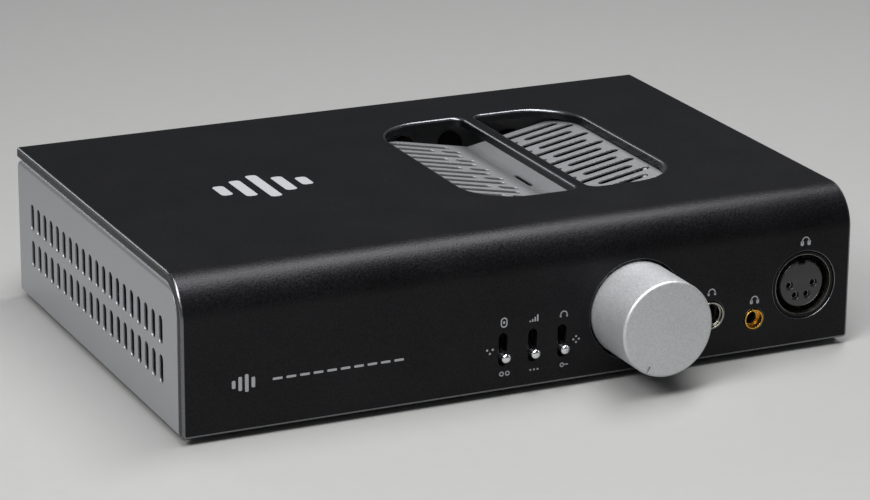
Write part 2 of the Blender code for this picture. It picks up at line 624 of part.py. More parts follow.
def make_switches():
    z = BASE_Z + SWITCH_HEIGHT
    neck = LEVER_NECK_RADIUS
    tip = LEVER_TIP_RADIUS
    ball = LEVER_BALL_RADIUS
    top = LEVER_LENGTH
    dome = [math.radians(a) for a in (0, 30, 60, 90)]
    profile = [(tip * math.sin(a), top - LEVER_DOME * (1 - math.cos(a))) for a in dome]
    profile += [(tip, top - LEVER_TIP_LENGTH)]
    under = [math.acos(neck / ball)] + [math.radians(a) for a in (0, -45, -90)]
    profile += [(ball * math.cos(a), ball * math.sin(a)) for a in under]
    profile[0] = (0, profile[0][1])
    profile[-1] = (0, profile[-1][1])
    facing = Euler((math.pi / 2 + LEVER_TILT, 0, 0))
    front = FRONT_Y + LEVER_PIVOT_DEPTH - SWITCH_NOSE
    back = FRONT_Y + LEVER_PIVOT_DEPTH + ball + 2 * GAP
    for name, x in zip(("input", "gain", "output"), switch_places()):
        pivot = (x, FRONT_Y + LEVER_PIVOT_DEPTH, z)
        turned(f"{name}_lever", profile, pivot, facing, parts, chrome, 16)
        half = SWITCH_BODY_WIDTH / 2
        top_z = z + SWITCH_BODY_HEIGHT / 2
        low, high = (x - half, front, PART_FLOOR), (x + half, front + SWITCH_BODY_DEPTH, top_z)
        body = box(f"{name}_switch_body", low, high, parts, black_plastic)
        wide = ball + GAP
        tall = ball + (LEVER_PIVOT_DEPTH - front + FRONT_Y) * math.tan(LEVER_TILT) + 2 * GAP
        low, high = (x - wide, front - ball, z - tall), (x + wide, back, z + tall)
        pocket = box(f"{name}_pocket", low, high, cutters)
        boolean(body, as_cutter(pocket))


def jack(name, x, height, bore, ring_radius, ring_bore, proud, body_size, ring_material):
    z = BASE_Z + height
    width, depth, above = body_size
    front = COVER_INNER_Y + GAP
    ring = tube_profile(ring_radius, ring_bore, proud, -COVER_THICKNESS)
    turned(f"{name}_ring", ring, (x, FRONT_Y, z), FACE_FRONT, parts, ring_material, 24, ring=True)
    low, high = (x - width / 2, front, PART_FLOOR), (x + width / 2, front + depth, z + above)
    body = box(f"{name}_body", low, high, parts, black_plastic)
    hole = circle((x, z), bore, 24)
    floor = front + depth - JACK_END_WALL
    boolean(body, as_cutter(prism(f"{name}_bore", [hole], 'Y', front - SHEET, floor, cutters)))


def make_jacks():
    jack("phone_jack", XLR_X - PHONE_FROM_XLR, PHONE_HEIGHT, PHONE_BORE, PHONE_RING_RADIUS, PHONE_RING_BORE,
         PHONE_RING_PROUD, PHONE_JACK_BODY, nickel)
    jack("balanced_jack", XLR_X - BALANCED_FROM_XLR, BALANCED_HEIGHT, BALANCED_BORE, BALANCED_RING_RADIUS,
         BALANCED_BORE, BALANCED_RING_PROUD, BALANCED_JACK_BODY, gold)


def contact_cutter(name, place, facing, face_height, angles):
    """Pin holes and the key slot of a connector insert, in its own turned frame."""
    x, y, z = place
    out = -1 if facing is FACE_FRONT else 1
    low = y + out * (face_height - XLR_CONTACT_DEPTH)
    high = y + out * (face_height + XLR_CONTACT_RADIUS)
    ring = XLR_CONTACT_CIRCLE
    loops = []
    for angle in angles:
        u = x + ring * math.cos(math.radians(angle))
        v = z + ring * math.sin(math.radians(angle))
        loops.append(circle((u, v), XLR_CONTACT_RADIUS, 12))
    loops.append(rectangle((x, z + XLR_INSERT_RADIUS), (XLR_KEY_WIDTH, 2 * XLR_KEY_DEPTH)))
    return as_cutter(prism(name, loops, 'Y', min(low, high), max(low, high), cutters))


def make_phone_xlr():
    place = (XLR_X, FRONT_Y, BASE_Z + PHONE_XLR_HEIGHT)
    floor = COVER_THICKNESS - XLR_DEPTH
    profile = [(0, floor), (XLR_BORE, floor), (XLR_BORE, -GAP), (XLR_RADIUS, -GAP), (XLR_RADIUS, -XLR_DEPTH),
               (0, -XLR_DEPTH)]
    turned("xlr_phone_shell", profile, place, FACE_FRONT, parts, black_metal, 40)
    top = -XLR_INSERT_SUNK
    bottom = floor + GAP
    plug = [(0, top), (XLR_INSERT_RADIUS, top), (XLR_INSERT_RADIUS, bottom), (0, bottom)]
    insert = turned("xlr_phone_insert", plug, place, FACE_FRONT, parts, grey_plastic, CIRCLE_STEPS)
    boolean(insert, contact_cutter("phone_contacts", place, FACE_FRONT, top, PHONE_CONTACT_ANGLES))


# Rear row
def make_inlet():
    x, z = inlet_x(), REAR_ROW_Z
    face = PANEL_OUTER_Y + GAP
    outer = face + FLANGE_THICKNESS
    back = PANEL_OUTER_Y - INLET_DEPTH
    inlet = prism("power_inlet", [rectangle((x, z), INLET_FLANGE)], 'Y', face, outer, parts, black_plastic)
    housing = prism("inlet_housing", [rectangle((x, z), INLET_BODY)], 'Y', back, outer - GAP, cutters)
    boolean(inlet, as_cutter(housing), 'UNION')
    half_u, half_v = INLET_CAVITY[0] / 2, INLET_CAVITY[1] / 2
    corner = INLET_CAVITY_CORNER
    right = [(half_u, -half_v), (half_u, half_v - corner), (half_u - corner, half_v)]
    mouth = [(x + u, z + v) for u, v in right] + [(x - u, z + v) for u, v in right[::-1]]
    floor = outer - INLET_CAVITY_DEPTH
    boolean(inlet, as_cutter(prism("inlet_cavity", [mouth], 'Y', floor, outer + COVER_THICKNESS, cutters)))
    wide, tall, long = BLADE
    places = [(-BLADE_SPREAD, -BLADE_STAGGER), (BLADE_SPREAD, -BLADE_STAGGER), (0, BLADE_STAGGER)]
    outlines = [rectangle((x + u, z + v), (wide, tall)) for u, v in places]
    blades = prism("inlet_blades", outlines, 'Y', floor - SHEET, floor + long, cutters)
    boolean(inlet, as_cutter(blades), 'UNION')


def make_rocker():
    x, z = rocker_x(), REAR_ROW_Z
    face = PANEL_OUTER_Y + GAP
    outer = face + FLANGE_THICKNESS
    back = PANEL_OUTER_Y - ROCKER_DEPTH
    frame = prism("rocker_frame", [rectangle((x, z), ROCKER_FLANGE)], 'Y', face, outer, parts, black_plastic)
    housing = prism("rocker_housing", [rectangle((x, z), ROCKER_BODY)], 'Y', back, outer - GAP, cutters)
    boolean(frame, as_cutter(housing), 'UNION')
    floor = back + SHEET
    mouth = rectangle((x, z), ROCKER_CAVITY)
    cavity = prism("rocker_cavity", [mouth], 'Y', floor, outer + COVER_THICKNESS, cutters)
    boolean(frame, as_cutter(cavity))
    half = ROCKER_HALF_HEIGHT
    outline = [(ROCKER_RISE, half), (ROCKER_RISE - ROCKER_DISH, 0), (ROCKER_RISE, -half)]
    outline += [(ROCKER_BELLY / half * u, v) for u, v in arc((0, 0), half, 270, 90, 8)]
    wide = ROCKER_CAVITY[0] / 2 - ROCKER_SIDE_CLEARANCE
    pivot = (x, outer - ROCKER_PIVOT_DEPTH, z)
    rocker = prism("power_rocker", [outline], 'X', -wide, wide, parts, black_plastic, origin=pivot)
    rocker.rotation_euler = (-ROCKER_TILT, 0, 0)


def make_module_cover():
    face = PANEL_OUTER_Y + GAP
    prism("module_cover", [module_plate()], 'Y', face, face + SHEET, parts, silver_steel)


def make_phonos():
    names = ("line_in_upper", "line_in_lower", "line_out_upper", "line_out_lower")
    proud = REAR_REACH + REAR_SETBACK
    low = -PHONO_TAIL
    flange = GAP + FLANGE_THICKNESS
    bore_floor = GAP
    profile = [(0, bore_floor), (PHONO_BORE, bore_floor), (PHONO_BORE, proud), (PHONO_BARREL, proud),
               (PHONO_BARREL, flange), (PHONO_FLANGE, flange), (PHONO_FLANGE, GAP), (PHONO_BARREL, GAP),
               (PHONO_BARREL, low), (0, low)]
    for name, (x, z) in zip(names, phono_places()):
        turned(f"{name}_phono", profile, (x, PANEL_OUTER_Y, z), FACE_REAR, parts, gold, SMALL_STEPS)


def make_line_xlrs():
    rim = GAP + FLANGE_THICKNESS
    floor = COVER_THICKNESS - XLR_DEPTH
    top = -XLR_INSERT_SUNK
    wide = XLR_RADIUS + FLANGE_THICKNESS
    profile = [(0, top), (XLR_INSERT_RADIUS, top), (XLR_INSERT_RADIUS, floor), (XLR_BORE, floor),
               (XLR_BORE, rim), (wide, rim), (wide, GAP), (XLR_RADIUS, GAP), (XLR_RADIUS, -XLR_DEPTH),
               (0, -XLR_DEPTH)]
    for name, x in zip(("left", "right"), line_xlr_places()):
        place = (x, PANEL_OUTER_Y, REAR_ROW_Z)
        socket = turned(f"xlr_line_{name}", profile, place, FACE_REAR, parts, black_metal, 28)
        boolean(socket, contact_cutter(f"{name}_contacts", place, FACE_REAR, top, LINE_CONTACT_ANGLES))


# Inside
def make_board():
    low = (-HALF_WIDTH + BOARD_SIDE_MARGIN, COVER_INNER_Y + BOARD_FRONT_MARGIN, BOARD_BOTTOM)
    high = (HALF_WIDTH - BOARD_SIDE_MARGIN, REAR_Y - BOARD_REAR_MARGIN, BOARD_TOP)
    box("main_board", low, high, parts, board_green)
    for side, x in (("left", low[0] + POST_INSET), ("right", high[0] - POST_INSET)):
        for end, y in (("front", low[1] + POST_INSET), ("rear", high[1] - POST_INSET)):
            profile = [(0, POST_HEIGHT), (POST_RADIUS, POST_HEIGHT), (POST_RADIUS, 0), (0, 0)]
            turned(f"board_post_{end}_{side}", profile, (x, y, POST_BOTTOM), FACE_UP, parts, brass, 6)


def make_transformer():
    left = -HALF_WIDTH + CORE_BESIDE_SHELL
    right = capacitor_x(0) - CAPACITOR_RADIUS - CORE_BESIDE_CAPACITORS
    wide, long = right - left, CORE_STACK
    leg = wide / LAMINATION_UNITS
    centre_leg = 2 * leg
    x = (left + right) / 2
    y = FRONT_Y + CORE_BEHIND_FRONT
    low = PART_FLOOR
    high = SHELL_TOP - SHEET - TALL_PART_HEADROOM
    middle = (low + high) / 2
    tall = high - low
    window_wide = leg
    window_tall = tall - 2 * leg
    from_middle = (centre_leg + window_wide) / 2
    windows = [rectangle((x + side * from_middle, middle), (window_wide, window_tall)) for side in (-1, 1)]
    core_loops = [rectangle((x, middle), (wide, tall))] + windows
    prism("transformer_core", core_loops, 'Y', y - long / 2, y + long / 2, parts, dark_steel)
    inner = (centre_leg + 2 * GAP, long + 2 * GAP)
    outer = (centre_leg + 2 * window_wide - 2 * GAP, long + 2 * COIL_OVERHANG)
    coil_loops = [rectangle((x, y), outer), rectangle((x, y), inner)]
    coil_low = middle - window_tall / 2 + GAP
    prism("transformer_coil", coil_loops, 'Z', coil_low, coil_low + window_tall - 2 * GAP, parts, coil_tape)


def capacitor_x(column):
    return VOLUME_X - CAPACITOR_LEFT_OF_VENT + (column - 0.5) * CAPACITOR_SPACING


def make_capacitors():
    top = PART_FLOOR + CAPACITOR_HEIGHT
    radius = CAPACITOR_RADIUS
    rim = radius - 2 * GAP
    profile = [(0, top), (rim, top), (radius, top - 2 * GAP), (radius, PART_FLOOR), (0, PART_FLOOR)]
    number = 1
    for i in range(2):
        for j in range(2):
            y = FRONT_Y + CAPACITOR_BEHIND_FRONT + j * CAPACITOR_SPACING
            place = (capacitor_x(i), y, 0)
            turned(f"filter_capacitor_{number}", profile, place, FACE_UP, parts, capacitor_sleeve, 24)
            number += 1


def make_sink():
    half = SINK_WIDTH / 2
    floor = PART_FLOOR
    pitch = (SINK_WIDTH - SINK_FIN) / (SINK_FINS - 1)
    outline = [(VOLUME_X - half, floor), (VOLUME_X + half, floor)]
    for i in reversed(range(SINK_FINS)):
        left = VOLUME_X - half + i * pitch
        right = left + SINK_FIN
        foot = floor + SINK_BASE
        outline += [(right, foot), (right, floor + SINK_HEIGHT), (left, floor + SINK_HEIGHT), (left, foot)]
    outline = [p for i, p in enumerate(outline) if i not in (2, len(outline) - 1)]
    reach = SINK_LENGTH / 2
    prism("heat_sink", [outline], 'Y', VENT_Y - reach, VENT_Y + reach, parts, black_aluminium)
    thick, wide, tall = TRANSISTOR
    x = VOLUME_X + half + GAP
    for number in range(1, 5):
        y = VENT_Y + (number - 2.5) * TRANSISTOR_PITCH
        low, high = (x, y - wide / 2, floor), (x + thick, y + wide / 2, floor + tall)
        box(f"output_transistor_{number}", low, high, parts, black_plastic)


clear_scene()
parts = new_collection("headphone_amplifier")
cutters = new_collection("cutters")
black_cover = new_material("black bead-blasted aluminium", (0.018, 0.018, 0.020), 0.6, 0.5)
silver_steel = new_material("satin silver steel", (0.42, 0.42, 0.44), 0.9, 0.42)
blasted_aluminium = new_material("blasted clear aluminium", (0.62, 0.62, 0.63), 0.9, 0.5)
black_aluminium = new_material("black anodised aluminium", (0.03, 0.03, 0.03), 0.7, 0.5)
black_metal = new_material("black plated zinc", (0.02, 0.02, 0.02), 0.6, 0.4)
black_plastic = new_material("black nylon", (0.02, 0.02, 0.02), 0.0, 0.5)
grey_plastic = new_material("dark grey nylon", (0.06, 0.06, 0.065), 0.0, 0.5)
chrome = new_material("chrome plate", (0.75, 0.75, 0.75), 1.0, 0.1)
nickel = new_material("nickel plate", (0.6, 0.6, 0.58), 1.0, 0.2)
gold = new_material("gold plate", (0.8, 0.55, 0.2), 1.0, 0.2)
brass = new_material("brass", (0.6, 0.45, 0.2), 1.0, 0.3)
steel = new_material("zinc plated steel", (0.5, 0.5, 0.5), 1.0, 0.35)
zinc = new_material("cast zinc", (0.4, 0.4, 0.4), 1.0, 0.4)
dark_steel = new_material("laminated core steel", (0.1, 0.1, 0.1), 0.8, 0.5)
dark_screw = new_material("black zinc screw", (0.05, 0.05, 0.05), 0.9, 0.35)
rubber = new_material("black rubber", (0.02, 0.02, 0.02), 0.0, 0.8)
board_green = new_material("dark solder mask", (0.01, 0.03, 0.02), 0.0, 0.4)
coil_tape = new_material("yellow coil tape", (0.5, 0.35, 0.05), 0.0, 0.5)
capacitor_sleeve = new_material("black capacitor sleeve", (0.02, 0.02, 0.03), 0.0, 0.35)

make_cover()
make_shell()
make_vent_screen()
make_tray()
make_rear_panel()
make_volume()
make_switches()
make_jacks()
make_phone_xlr()
make_inlet()
make_rocker()
make_module_cover()
make_phonos()
make_line_xlrs()
make_board()
make_transformer()
make_capacitors()
make_sink()
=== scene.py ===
import json
import math

import bmesh
import bpy
from mathutils import Matrix, Vector
from mathutils.geometry import tessellate_polygon


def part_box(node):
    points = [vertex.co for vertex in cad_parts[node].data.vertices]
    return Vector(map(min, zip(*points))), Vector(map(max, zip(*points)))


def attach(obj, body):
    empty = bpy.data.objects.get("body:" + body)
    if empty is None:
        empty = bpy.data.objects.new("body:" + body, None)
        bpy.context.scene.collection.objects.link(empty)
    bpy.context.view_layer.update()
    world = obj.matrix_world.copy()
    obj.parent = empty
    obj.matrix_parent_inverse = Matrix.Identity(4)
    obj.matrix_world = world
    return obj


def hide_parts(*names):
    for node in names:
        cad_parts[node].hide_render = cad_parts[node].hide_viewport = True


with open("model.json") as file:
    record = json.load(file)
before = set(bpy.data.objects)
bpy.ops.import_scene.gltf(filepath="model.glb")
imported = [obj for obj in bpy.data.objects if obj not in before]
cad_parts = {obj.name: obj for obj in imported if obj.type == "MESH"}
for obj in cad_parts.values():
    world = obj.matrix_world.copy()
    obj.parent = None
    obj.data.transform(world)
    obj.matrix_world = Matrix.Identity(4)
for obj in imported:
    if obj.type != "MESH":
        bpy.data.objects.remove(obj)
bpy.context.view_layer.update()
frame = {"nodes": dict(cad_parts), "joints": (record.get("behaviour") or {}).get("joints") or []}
toMetres = Matrix.Scale(0.001, 4)       # sizes below are in millimetres unless they say otherwise
sharpFrom = math.radians(35)            # edges steeper than this stay sharp to the light
cutterHeight = 2                        # how far a cutting block stands above what it cuts
print("frame loaded:", len(frame["nodes"]), "nodes")


def nodeBox(node):
    low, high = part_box(node)
    return low * 1000, high * 1000


def nodeMiddle(node):
    low, high = nodeBox(node)
    return (low + high) / 2


# Colours and nodes

def srgb(code):
    channels = [int(code[i:i + 2], 16) / 255 for i in (1, 3, 5)]
    return (*[c / 12.92 if c <= 0.04045 else ((c + 0.055) / 1.055) ** 2.4 for c in channels], 1)


def addNode(tree, kind, inputs=None, **settings):
    node = tree.nodes.new(kind)
    for name, value in settings.items():
        setattr(node, name, value)
    for key, value in (inputs or {}).items():
        if isinstance(value, bpy.types.NodeSocket):
            tree.links.new(value, node.inputs[key])
        else:
            node.inputs[key].default_value = value
    return node


grainSizes = {"cloud": 45, "fineShare": 0.75, "low": 0.3, "high": 0.7}      # cloud: its width in grains


def finish(name, colour, metallic, roughness, grain, tone, polish, bump, relief, spread=(1, 1, 1), ior=None,
           coat=0.0):
    # grain: size of the surface's texture in mm; tone, polish: how far colour and roughness wander;
    # bump: strength of the relief, whose height is relief in mm; spread: stretches the grain along an axis
    material = bpy.data.materials.new(name)
    material.use_nodes = True
    tree = material.node_tree
    shader = tree.nodes["Principled BSDF"]
    shader.inputs["Metallic"].default_value = metallic
    if ior:
        shader.inputs["IOR"].default_value = ior
    if coat:
        shader.inputs["Coat Weight"].default_value = coat
    where = addNode(tree, "ShaderNodeTexCoord")
    turned = addNode(tree, "ShaderNodeMapping", {"Vector": where.outputs["Object"], "Scale": spread})
    fine = addNode(tree, "ShaderNodeTexNoise", {"Vector": turned.outputs[0], "Scale": 1000 / grain,
                                                "Detail": 3.0, "Roughness": 0.6})
    cloud = grain * grainSizes["cloud"]
    broad = addNode(tree, "ShaderNodeTexNoise", {"Vector": turned.outputs[0], "Scale": 1000 / cloud,
                                                 "Detail": 2.0})
    dark = [c * (1 - tone) for c in srgb(colour)[:3]] + [1]
    light = [min(c * (1 + tone), 1) for c in srgb(colour)[:3]] + [1]
    share, low, high = grainSizes["fineShare"], grainSizes["low"], grainSizes["high"]
    part = addNode(tree, "ShaderNodeMath", {0: fine.outputs["Fac"], 1: share}, operation="MULTIPLY")
    both = addNode(tree, "ShaderNodeMath", {0: broad.outputs["Fac"], 1: 1 - share, 2: part.outputs[0]},
                   operation="MULTIPLY_ADD")
    shades = addNode(tree, "ShaderNodeMapRange", {"Value": both.outputs[0], "From Min": low,
                                                  "From Max": high})
    colours = addNode(tree, "ShaderNodeMix", {0: shades.outputs[0], "A": dark, "B": light}, data_type="RGBA")
    tree.links.new(colours.outputs["Result"], shader.inputs["Base Color"])
    rough = addNode(tree, "ShaderNodeMapRange", {"Value": both.outputs[0], "From Min": low, "From Max": high,
                                                 "To Min": max(roughness - polish, 0.02),
                                                 "To Max": min(roughness + polish, 1)})
    tree.links.new(rough.outputs[0], shader.inputs["Roughness"])
    raised = addNode(tree, "ShaderNodeBump", {"Height": fine.outputs["Fac"], "Strength": bump,
                                              "Distance": relief / 1000})
    tree.links.new(raised.outputs[0], shader.inputs["Normal"])
    return material


print("materials")
# bead-blasted, then dyed black: a dark satin that sparkles finely where the light rolls over the bend.
# Blasting grit is near 0.1 mm, drawn at 0.55 mm so that it still shows
blackCover = finish("bead-blasted black anodised aluminium", "#202022", 0.85, 0.38, 0.55, 0.45, 0.12, 0.90,
                    0.08)
# the same black where the cutter left the edges smooth, painted a lighter grey: a painted highlight, the thin
# bright line that light draws along them
paintedEdgeHighlight = finish("machined black anodised edge", "#77787b", 1.0, 0.30, 1.0, 0.10, 0.06, 0.10, 0.02)
# satin paint over folded steel: even light grey with a soft sheen
satinSteel = finish("satin silver painted steel", "#a9aaad", 0.75, 0.40, 0.7, 0.05, 0.05, 0.12, 0.03)
# the same paint, a little lighter: painted light on the screen, which is seen from above through the vents
litScreenSteel = finish("satin silver painted steel screen", "#b4b5b7", 0.75, 0.38, 0.7, 0.05, 0.05, 0.10, 0.03)
# bead-blasted and clear anodised: pale, with a dry grain
knobAluminium = finish("bead-blasted clear anodised aluminium", "#c6c7c9", 0.70, 0.50, 0.6, 0.16, 0.08, 0.60,
                       0.06)
# bright chrome on turned brass: dark and light bands of the room
chrome = finish("bright chrome plate", "#e4e5e7", 1.0, 0.15, 2.0, 0.02, 0.03, 0.03, 0.01)
# nickel over a turned ring: warmer and softer than the chrome
nickel = finish("satin nickel plate", "#b9b6ac", 1.0, 0.26, 1.2, 0.05, 0.05, 0.08, 0.01)
# thin gold over turned brass: a warm yellow shine
gold = finish("gold flash on brass", "#dcae55", 1.0, 0.24, 1.2, 0.05, 0.05, 0.08, 0.01)
# bare turned brass: browner and duller than the gold
brass = finish("turned brass", "#b99b57", 1.0, 0.32, 0.8, 0.08, 0.06, 0.10, 0.02)
# zinc plated pressings: cool grey, slightly cloudy
zincSteel = finish("zinc plated steel", "#a2a4a5", 1.0, 0.34, 1.5, 0.10, 0.10, 0.15, 0.02)
# die-cast and plated black: a dark, slightly grainy shine
blackZinc = finish("black plated die-cast zinc", "#1d1d1e", 0.8, 0.38, 0.7, 0.15, 0.07, 0.20, 0.03)
# black screws: a dark glint on each head
screwZinc = finish("black zinc screw", "#2a2a2c", 0.9, 0.36, 0.8, 0.15, 0.07, 0.15, 0.02)
# die-cast and left plain: a dull mid grey
castZinc = finish("plain die-cast zinc", "#8b8c8e", 1.0, 0.45, 0.8, 0.10, 0.08, 0.30, 0.04)
# moulded nylon: a soft sheen without sparkle, glossier on the socket's insert
nylon = finish("moulded black nylon", "#161617", 0.0, 0.48, 0.9, 0.12, 0.07, 0.20, 0.03, ior=1.53)
greyNylon = finish("moulded dark grey nylon", "#1e1e20", 0.0, 0.36, 0.9, 0.10, 0.07, 0.18, 0.03, ior=1.53,
                   coat=0.4)
redNylon = finish("moulded red nylon", "#9e2320", 0.0, 0.40, 0.9, 0.06, 0.05, 0.10, 0.02, ior=1.53)
whiteNylon = finish("moulded white nylon", "#d9d8d2", 0.0, 0.40, 0.9, 0.03, 0.05, 0.10, 0.02, ior=1.53)
# moulded rubber: black with almost no shine
rubber = finish("moulded black rubber", "#141414", 0.0, 0.78, 1.1, 0.15, 0.08, 0.40, 0.05, ior=1.50)
# an extrusion, so its grain is drawn out along Y
blackSink = finish("black anodised extrusion", "#18181a", 0.8, 0.45, 1.0, 0.12, 0.08, 0.30, 0.04,
                   spread=(1, 0.08, 1))
# resin over copper: dark green and smooth
solderMask = finish("dark green solder mask", "#10241d", 0.0, 0.32, 1.4, 0.20, 0.06, 0.20, 0.03, ior=1.50)
# stacked sheets under varnish: fine lines between them
laminations = finish("varnished lamination steel", "#3b3a39", 0.8, 0.46, 0.7, 0.30, 0.10, 0.60, 0.10,
                     spread=(0.02, 1, 0.02))
# wound tape and shrunk sleeves: dark and glossy
coilTape = finish("black polyester tape", "#1b1a18", 0.0, 0.30, 2.2, 0.08, 0.06, 0.15, 0.03, ior=1.60,
                  coat=0.3)
sleeve = finish("black shrink sleeve", "#15161b", 0.0, 0.28, 1.8, 0.10, 0.06, 0.15, 0.03, ior=1.54, coat=0.2)
# stamped aluminium: the bright disc on top of a can
canTop = finish("stamped aluminium can", "#c3c4c6", 1.0, 0.34, 1.0, 0.06, 0.06, 0.12, 0.02)
# screen ink: flat, light and dry
ink = finish("light grey screen ink", "#96979a", 0.0, 0.55, 0.8, 0.05, 0.05, 0.15, 0.01, ior=1.48)
# dipped lacquer and moulded epoxy: the dark small parts seen through the vents
lacquer = finish("dark blue resistor lacquer", "#1f2a3d", 0.0, 0.45, 0.9, 0.10, 0.07, 0.15, 0.03, ior=1.52)
epoxy = finish("black moulded epoxy", "#1b1b1c", 0.0, 0.55, 0.8, 0.12, 0.08, 0.30, 0.03, ior=1.55)
# matt paint: an even pale ground
floorPaint = finish("pale matt studio floor", "#929291", 0.0, 0.72, 6.0, 0.015, 0.03, 0.03, 0.05, ior=1.45)


# Outlines, listed anticlockwise as (u, v)

def arc(centre, radius, start, end, steps):
    turns = [math.radians(start + (end - start) * i / steps) for i in range(steps + 1)]
    return [(centre[0] + radius * math.cos(a), centre[1] + radius * math.sin(a)) for a in turns]


def circle(centre, radius, steps=48):
    return arc(centre, radius, 0, 360, steps)[:-1]


def roundedRect(low, high, radii, steps=10):
    # radii in the order low-low, high-low, high-high, low-high
    corners = [(low[0], low[1], 1, 1), (high[0], low[1], -1, 1), (high[0], high[1], -1, -1),
               (low[0], high[1], 1, -1)]
    points = []
    for (u, v, inU, inV), radius, start in zip(corners, radii, (180, 270, 0, 90)):
        points += arc((u + inU * radius, v + inV * radius), radius, start, start + 90, steps)
    return points


def obround(centre, length, width, steps=14):
    reach = (length - width) / 2
    u, v = centre
    return arc((u, v + reach), width / 2, 0, 180, steps) + arc((u, v - reach), width / 2, 180, 360, steps)


def offsetLoop(points, distance):
    # moves each point along its corner's bisector; positive shrinks an anticlockwise loop
    moved = []
    for i, point in enumerate(points):
        before = (Vector(point) - Vector(points[i - 1])).normalized()
        after = (Vector(points[(i + 1) % len(points)]) - Vector(point)).normalized()
        normal = Vector((-before.y - after.y, before.x + after.x)).normalized()
        reach = distance / max(normal.dot(Vector((-before.y, before.x))), 0.2)
        moved.append((point[0] + normal.x * reach, point[1] + normal.y * reach))
    return moved


# Meshes

def sheetMesh(loops, thickness, backBreak=0.2, breakSteps=5):
    # loops: (points, edge break) pairs, the outline first and then its holes;
    # the face lies at z = 0 and the back below it
    bm = bmesh.new()
    quarter = [math.radians(90 * i / breakSteps) for i in range(breakSteps + 1)]
    backTurns = quarter[::2] + ([quarter[-1]] if breakSteps % 2 else [])
    firsts, lasts = [], []
    for number, (points, edge) in enumerate(loops):
        inward = 1 if number == 0 else -1
        profile = [(edge - edge * math.sin(a), edge - edge * math.cos(a)) for a in quarter]
        profile += [(backBreak - backBreak * math.cos(a), thickness - backBreak + backBreak * math.sin(a))
                    for a in backTurns]
        rings = []
        for inset, depth in profile:
            ring = offsetLoop(points, inward * inset)
            rings.append([bm.verts.new((u, v, -depth)) for u, v in ring])
        for upper, lower in zip(rings, rings[1:]):
            for i in range(len(points)):
                j = (i + 1) % len(points)
                bm.faces.new((upper[i], upper[j], lower[j], lower[i]))
        firsts.append(rings[0])
        lasts.append(rings[-1])
    for ends in (firsts, lasts):
        flat = [vert for ring in ends for vert in ring]
        for triangle in tessellate_polygon([[vert.co for vert in ring] for ring in ends]):
            bm.faces.new([flat[i] for i in triangle])
    bmesh.ops.recalc_face_normals(bm, faces=bm.faces)
    return bm


def turnedMesh(profile, steps=64, closed=False):
    # profile: (radius, height) points; a radius of 0 closes the end
    bm = bmesh.new()
    rings = []
    for radius, height in profile:
        if radius < 1e-6:
            rings.append([bm.verts.new((0, 0, height))])
        else:
            rings.append([bm.verts.new((radius * math.cos(a), radius * math.sin(a), height))
                          for a in (2 * math.pi * i / steps for i in range(steps))])
    pairs = list(zip(rings, rings[1:])) + ([(rings[-1], rings[0])] if closed else [])
    for below, above in pairs:
        for i in range(steps):
            j = (i + 1) % steps
            if len(below) == 1:
                bm.faces.new((below[0], above[i], above[j]))
            elif len(above) == 1:
                bm.faces.new((below[i], below[j], above[0]))
            else:
                bm.faces.new((below[i], below[j], above[j], above[i]))
    bmesh.ops.recalc_face_normals(bm, faces=bm.faces)
    return bm


def softened(profile, radius, steps=4, closed=False):
    # rounds every corner of a profile, ends left alone unless it is closed
    points = [Vector(p) for p in profile]
    soft = []
    for i, here in enumerate(points):
        if not closed and i in (0, len(points) - 1):
            soft.append(tuple(here))
            continue
        before, after = points[i - 1], points[(i + 1) % len(points)]
        start = here + (before - here).normalized() * min(radius, (before - here).length * 0.45)
        end = here + (after - here).normalized() * min(radius, (after - here).length * 0.45)
        for k in range(steps + 1):
            t = k / steps
            soft.append(tuple(start * (1 - t) ** 2 + here * 2 * t * (1 - t) + end * t ** 2))
    return soft


def facing(place, direction):
    # a matrix that turns +Z to the direction and carries the origin to the place
    turn = Vector((0, 0, 1)).rotation_difference(Vector(direction)).to_matrix()
    return Matrix.Translation(place) @ turn.to_4x4()


# u, v and outwards run along X, Z and -Y on the front, and along -X, Z and +Y on the rear
frontFacing = Matrix(((1, 0, 0, 0), (0, 0, -1, 0), (0, 1, 0, 0), (0, 0, 0, 1)))
rearFacing = Matrix(((-1, 0, 0, 0), (0, 0, 1, 0), (0, 1, 0, 0), (0, 0, 0, 1)))


def moved(bm, matrix):
    bmesh.ops.transform(bm, matrix=matrix, verts=bm.verts)
    return bm


def joined(parts):
    # parts: (bmesh, first material) pairs, made one bmesh
    whole = bmesh.new()
    for bm, first in parts:
        for face in bm.faces:
            face.material_index += first
        mesh = bpy.data.meshes.new("part")
        bm.to_mesh(mesh)
        bm.free()
        whole.from_mesh(mesh)
        bpy.data.meshes.remove(mesh)
    return whole


def newObject(name, bm):
    # the bmesh is used up
    mesh = bpy.data.meshes.new(name)
    bm.to_mesh(mesh)
    bm.free()
    obj = bpy.data.objects.new(name, mesh)
    bpy.context.scene.collection.objects.link(obj)
    return obj


def plainMesh(obj):
    # what the modifiers make of the object, as its own mesh
    depsgraph = bpy.context.evaluated_depsgraph_get()
    mesh = bpy.data.meshes.new_from_object(obj.evaluated_get(depsgraph), preserve_all_data_layers=True,
                                           depsgraph=depsgraph)
    obj.modifiers.clear()
    obj.data = mesh


def takenBack(obj):
    # what the modifiers make of the object, as a bmesh; the object goes
    plainMesh(obj)
    bm = bmesh.new()
    bm.from_mesh(obj.data)
    bpy.data.objects.remove(obj)
    return bm


def newPiece(name, bm, materials, body, stands=(), even=False):
    piece = newObject(name, moved(bm, toMetres))
    piece.data.shade_smooth()
    piece.data.set_sharp_from_angle(angle=sharpFrom)
    for material in materials:
        piece.data.materials.append(material)
    if even:        # large flats keep their own normals beside small rounded edges
        piece.modifiers.new("even shading", "WEIGHTED_NORMAL").keep_sharp = True
        plainMesh(piece)
        piece.data.name = name
    if stands:
        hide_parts(*stands)
    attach(piece, body)


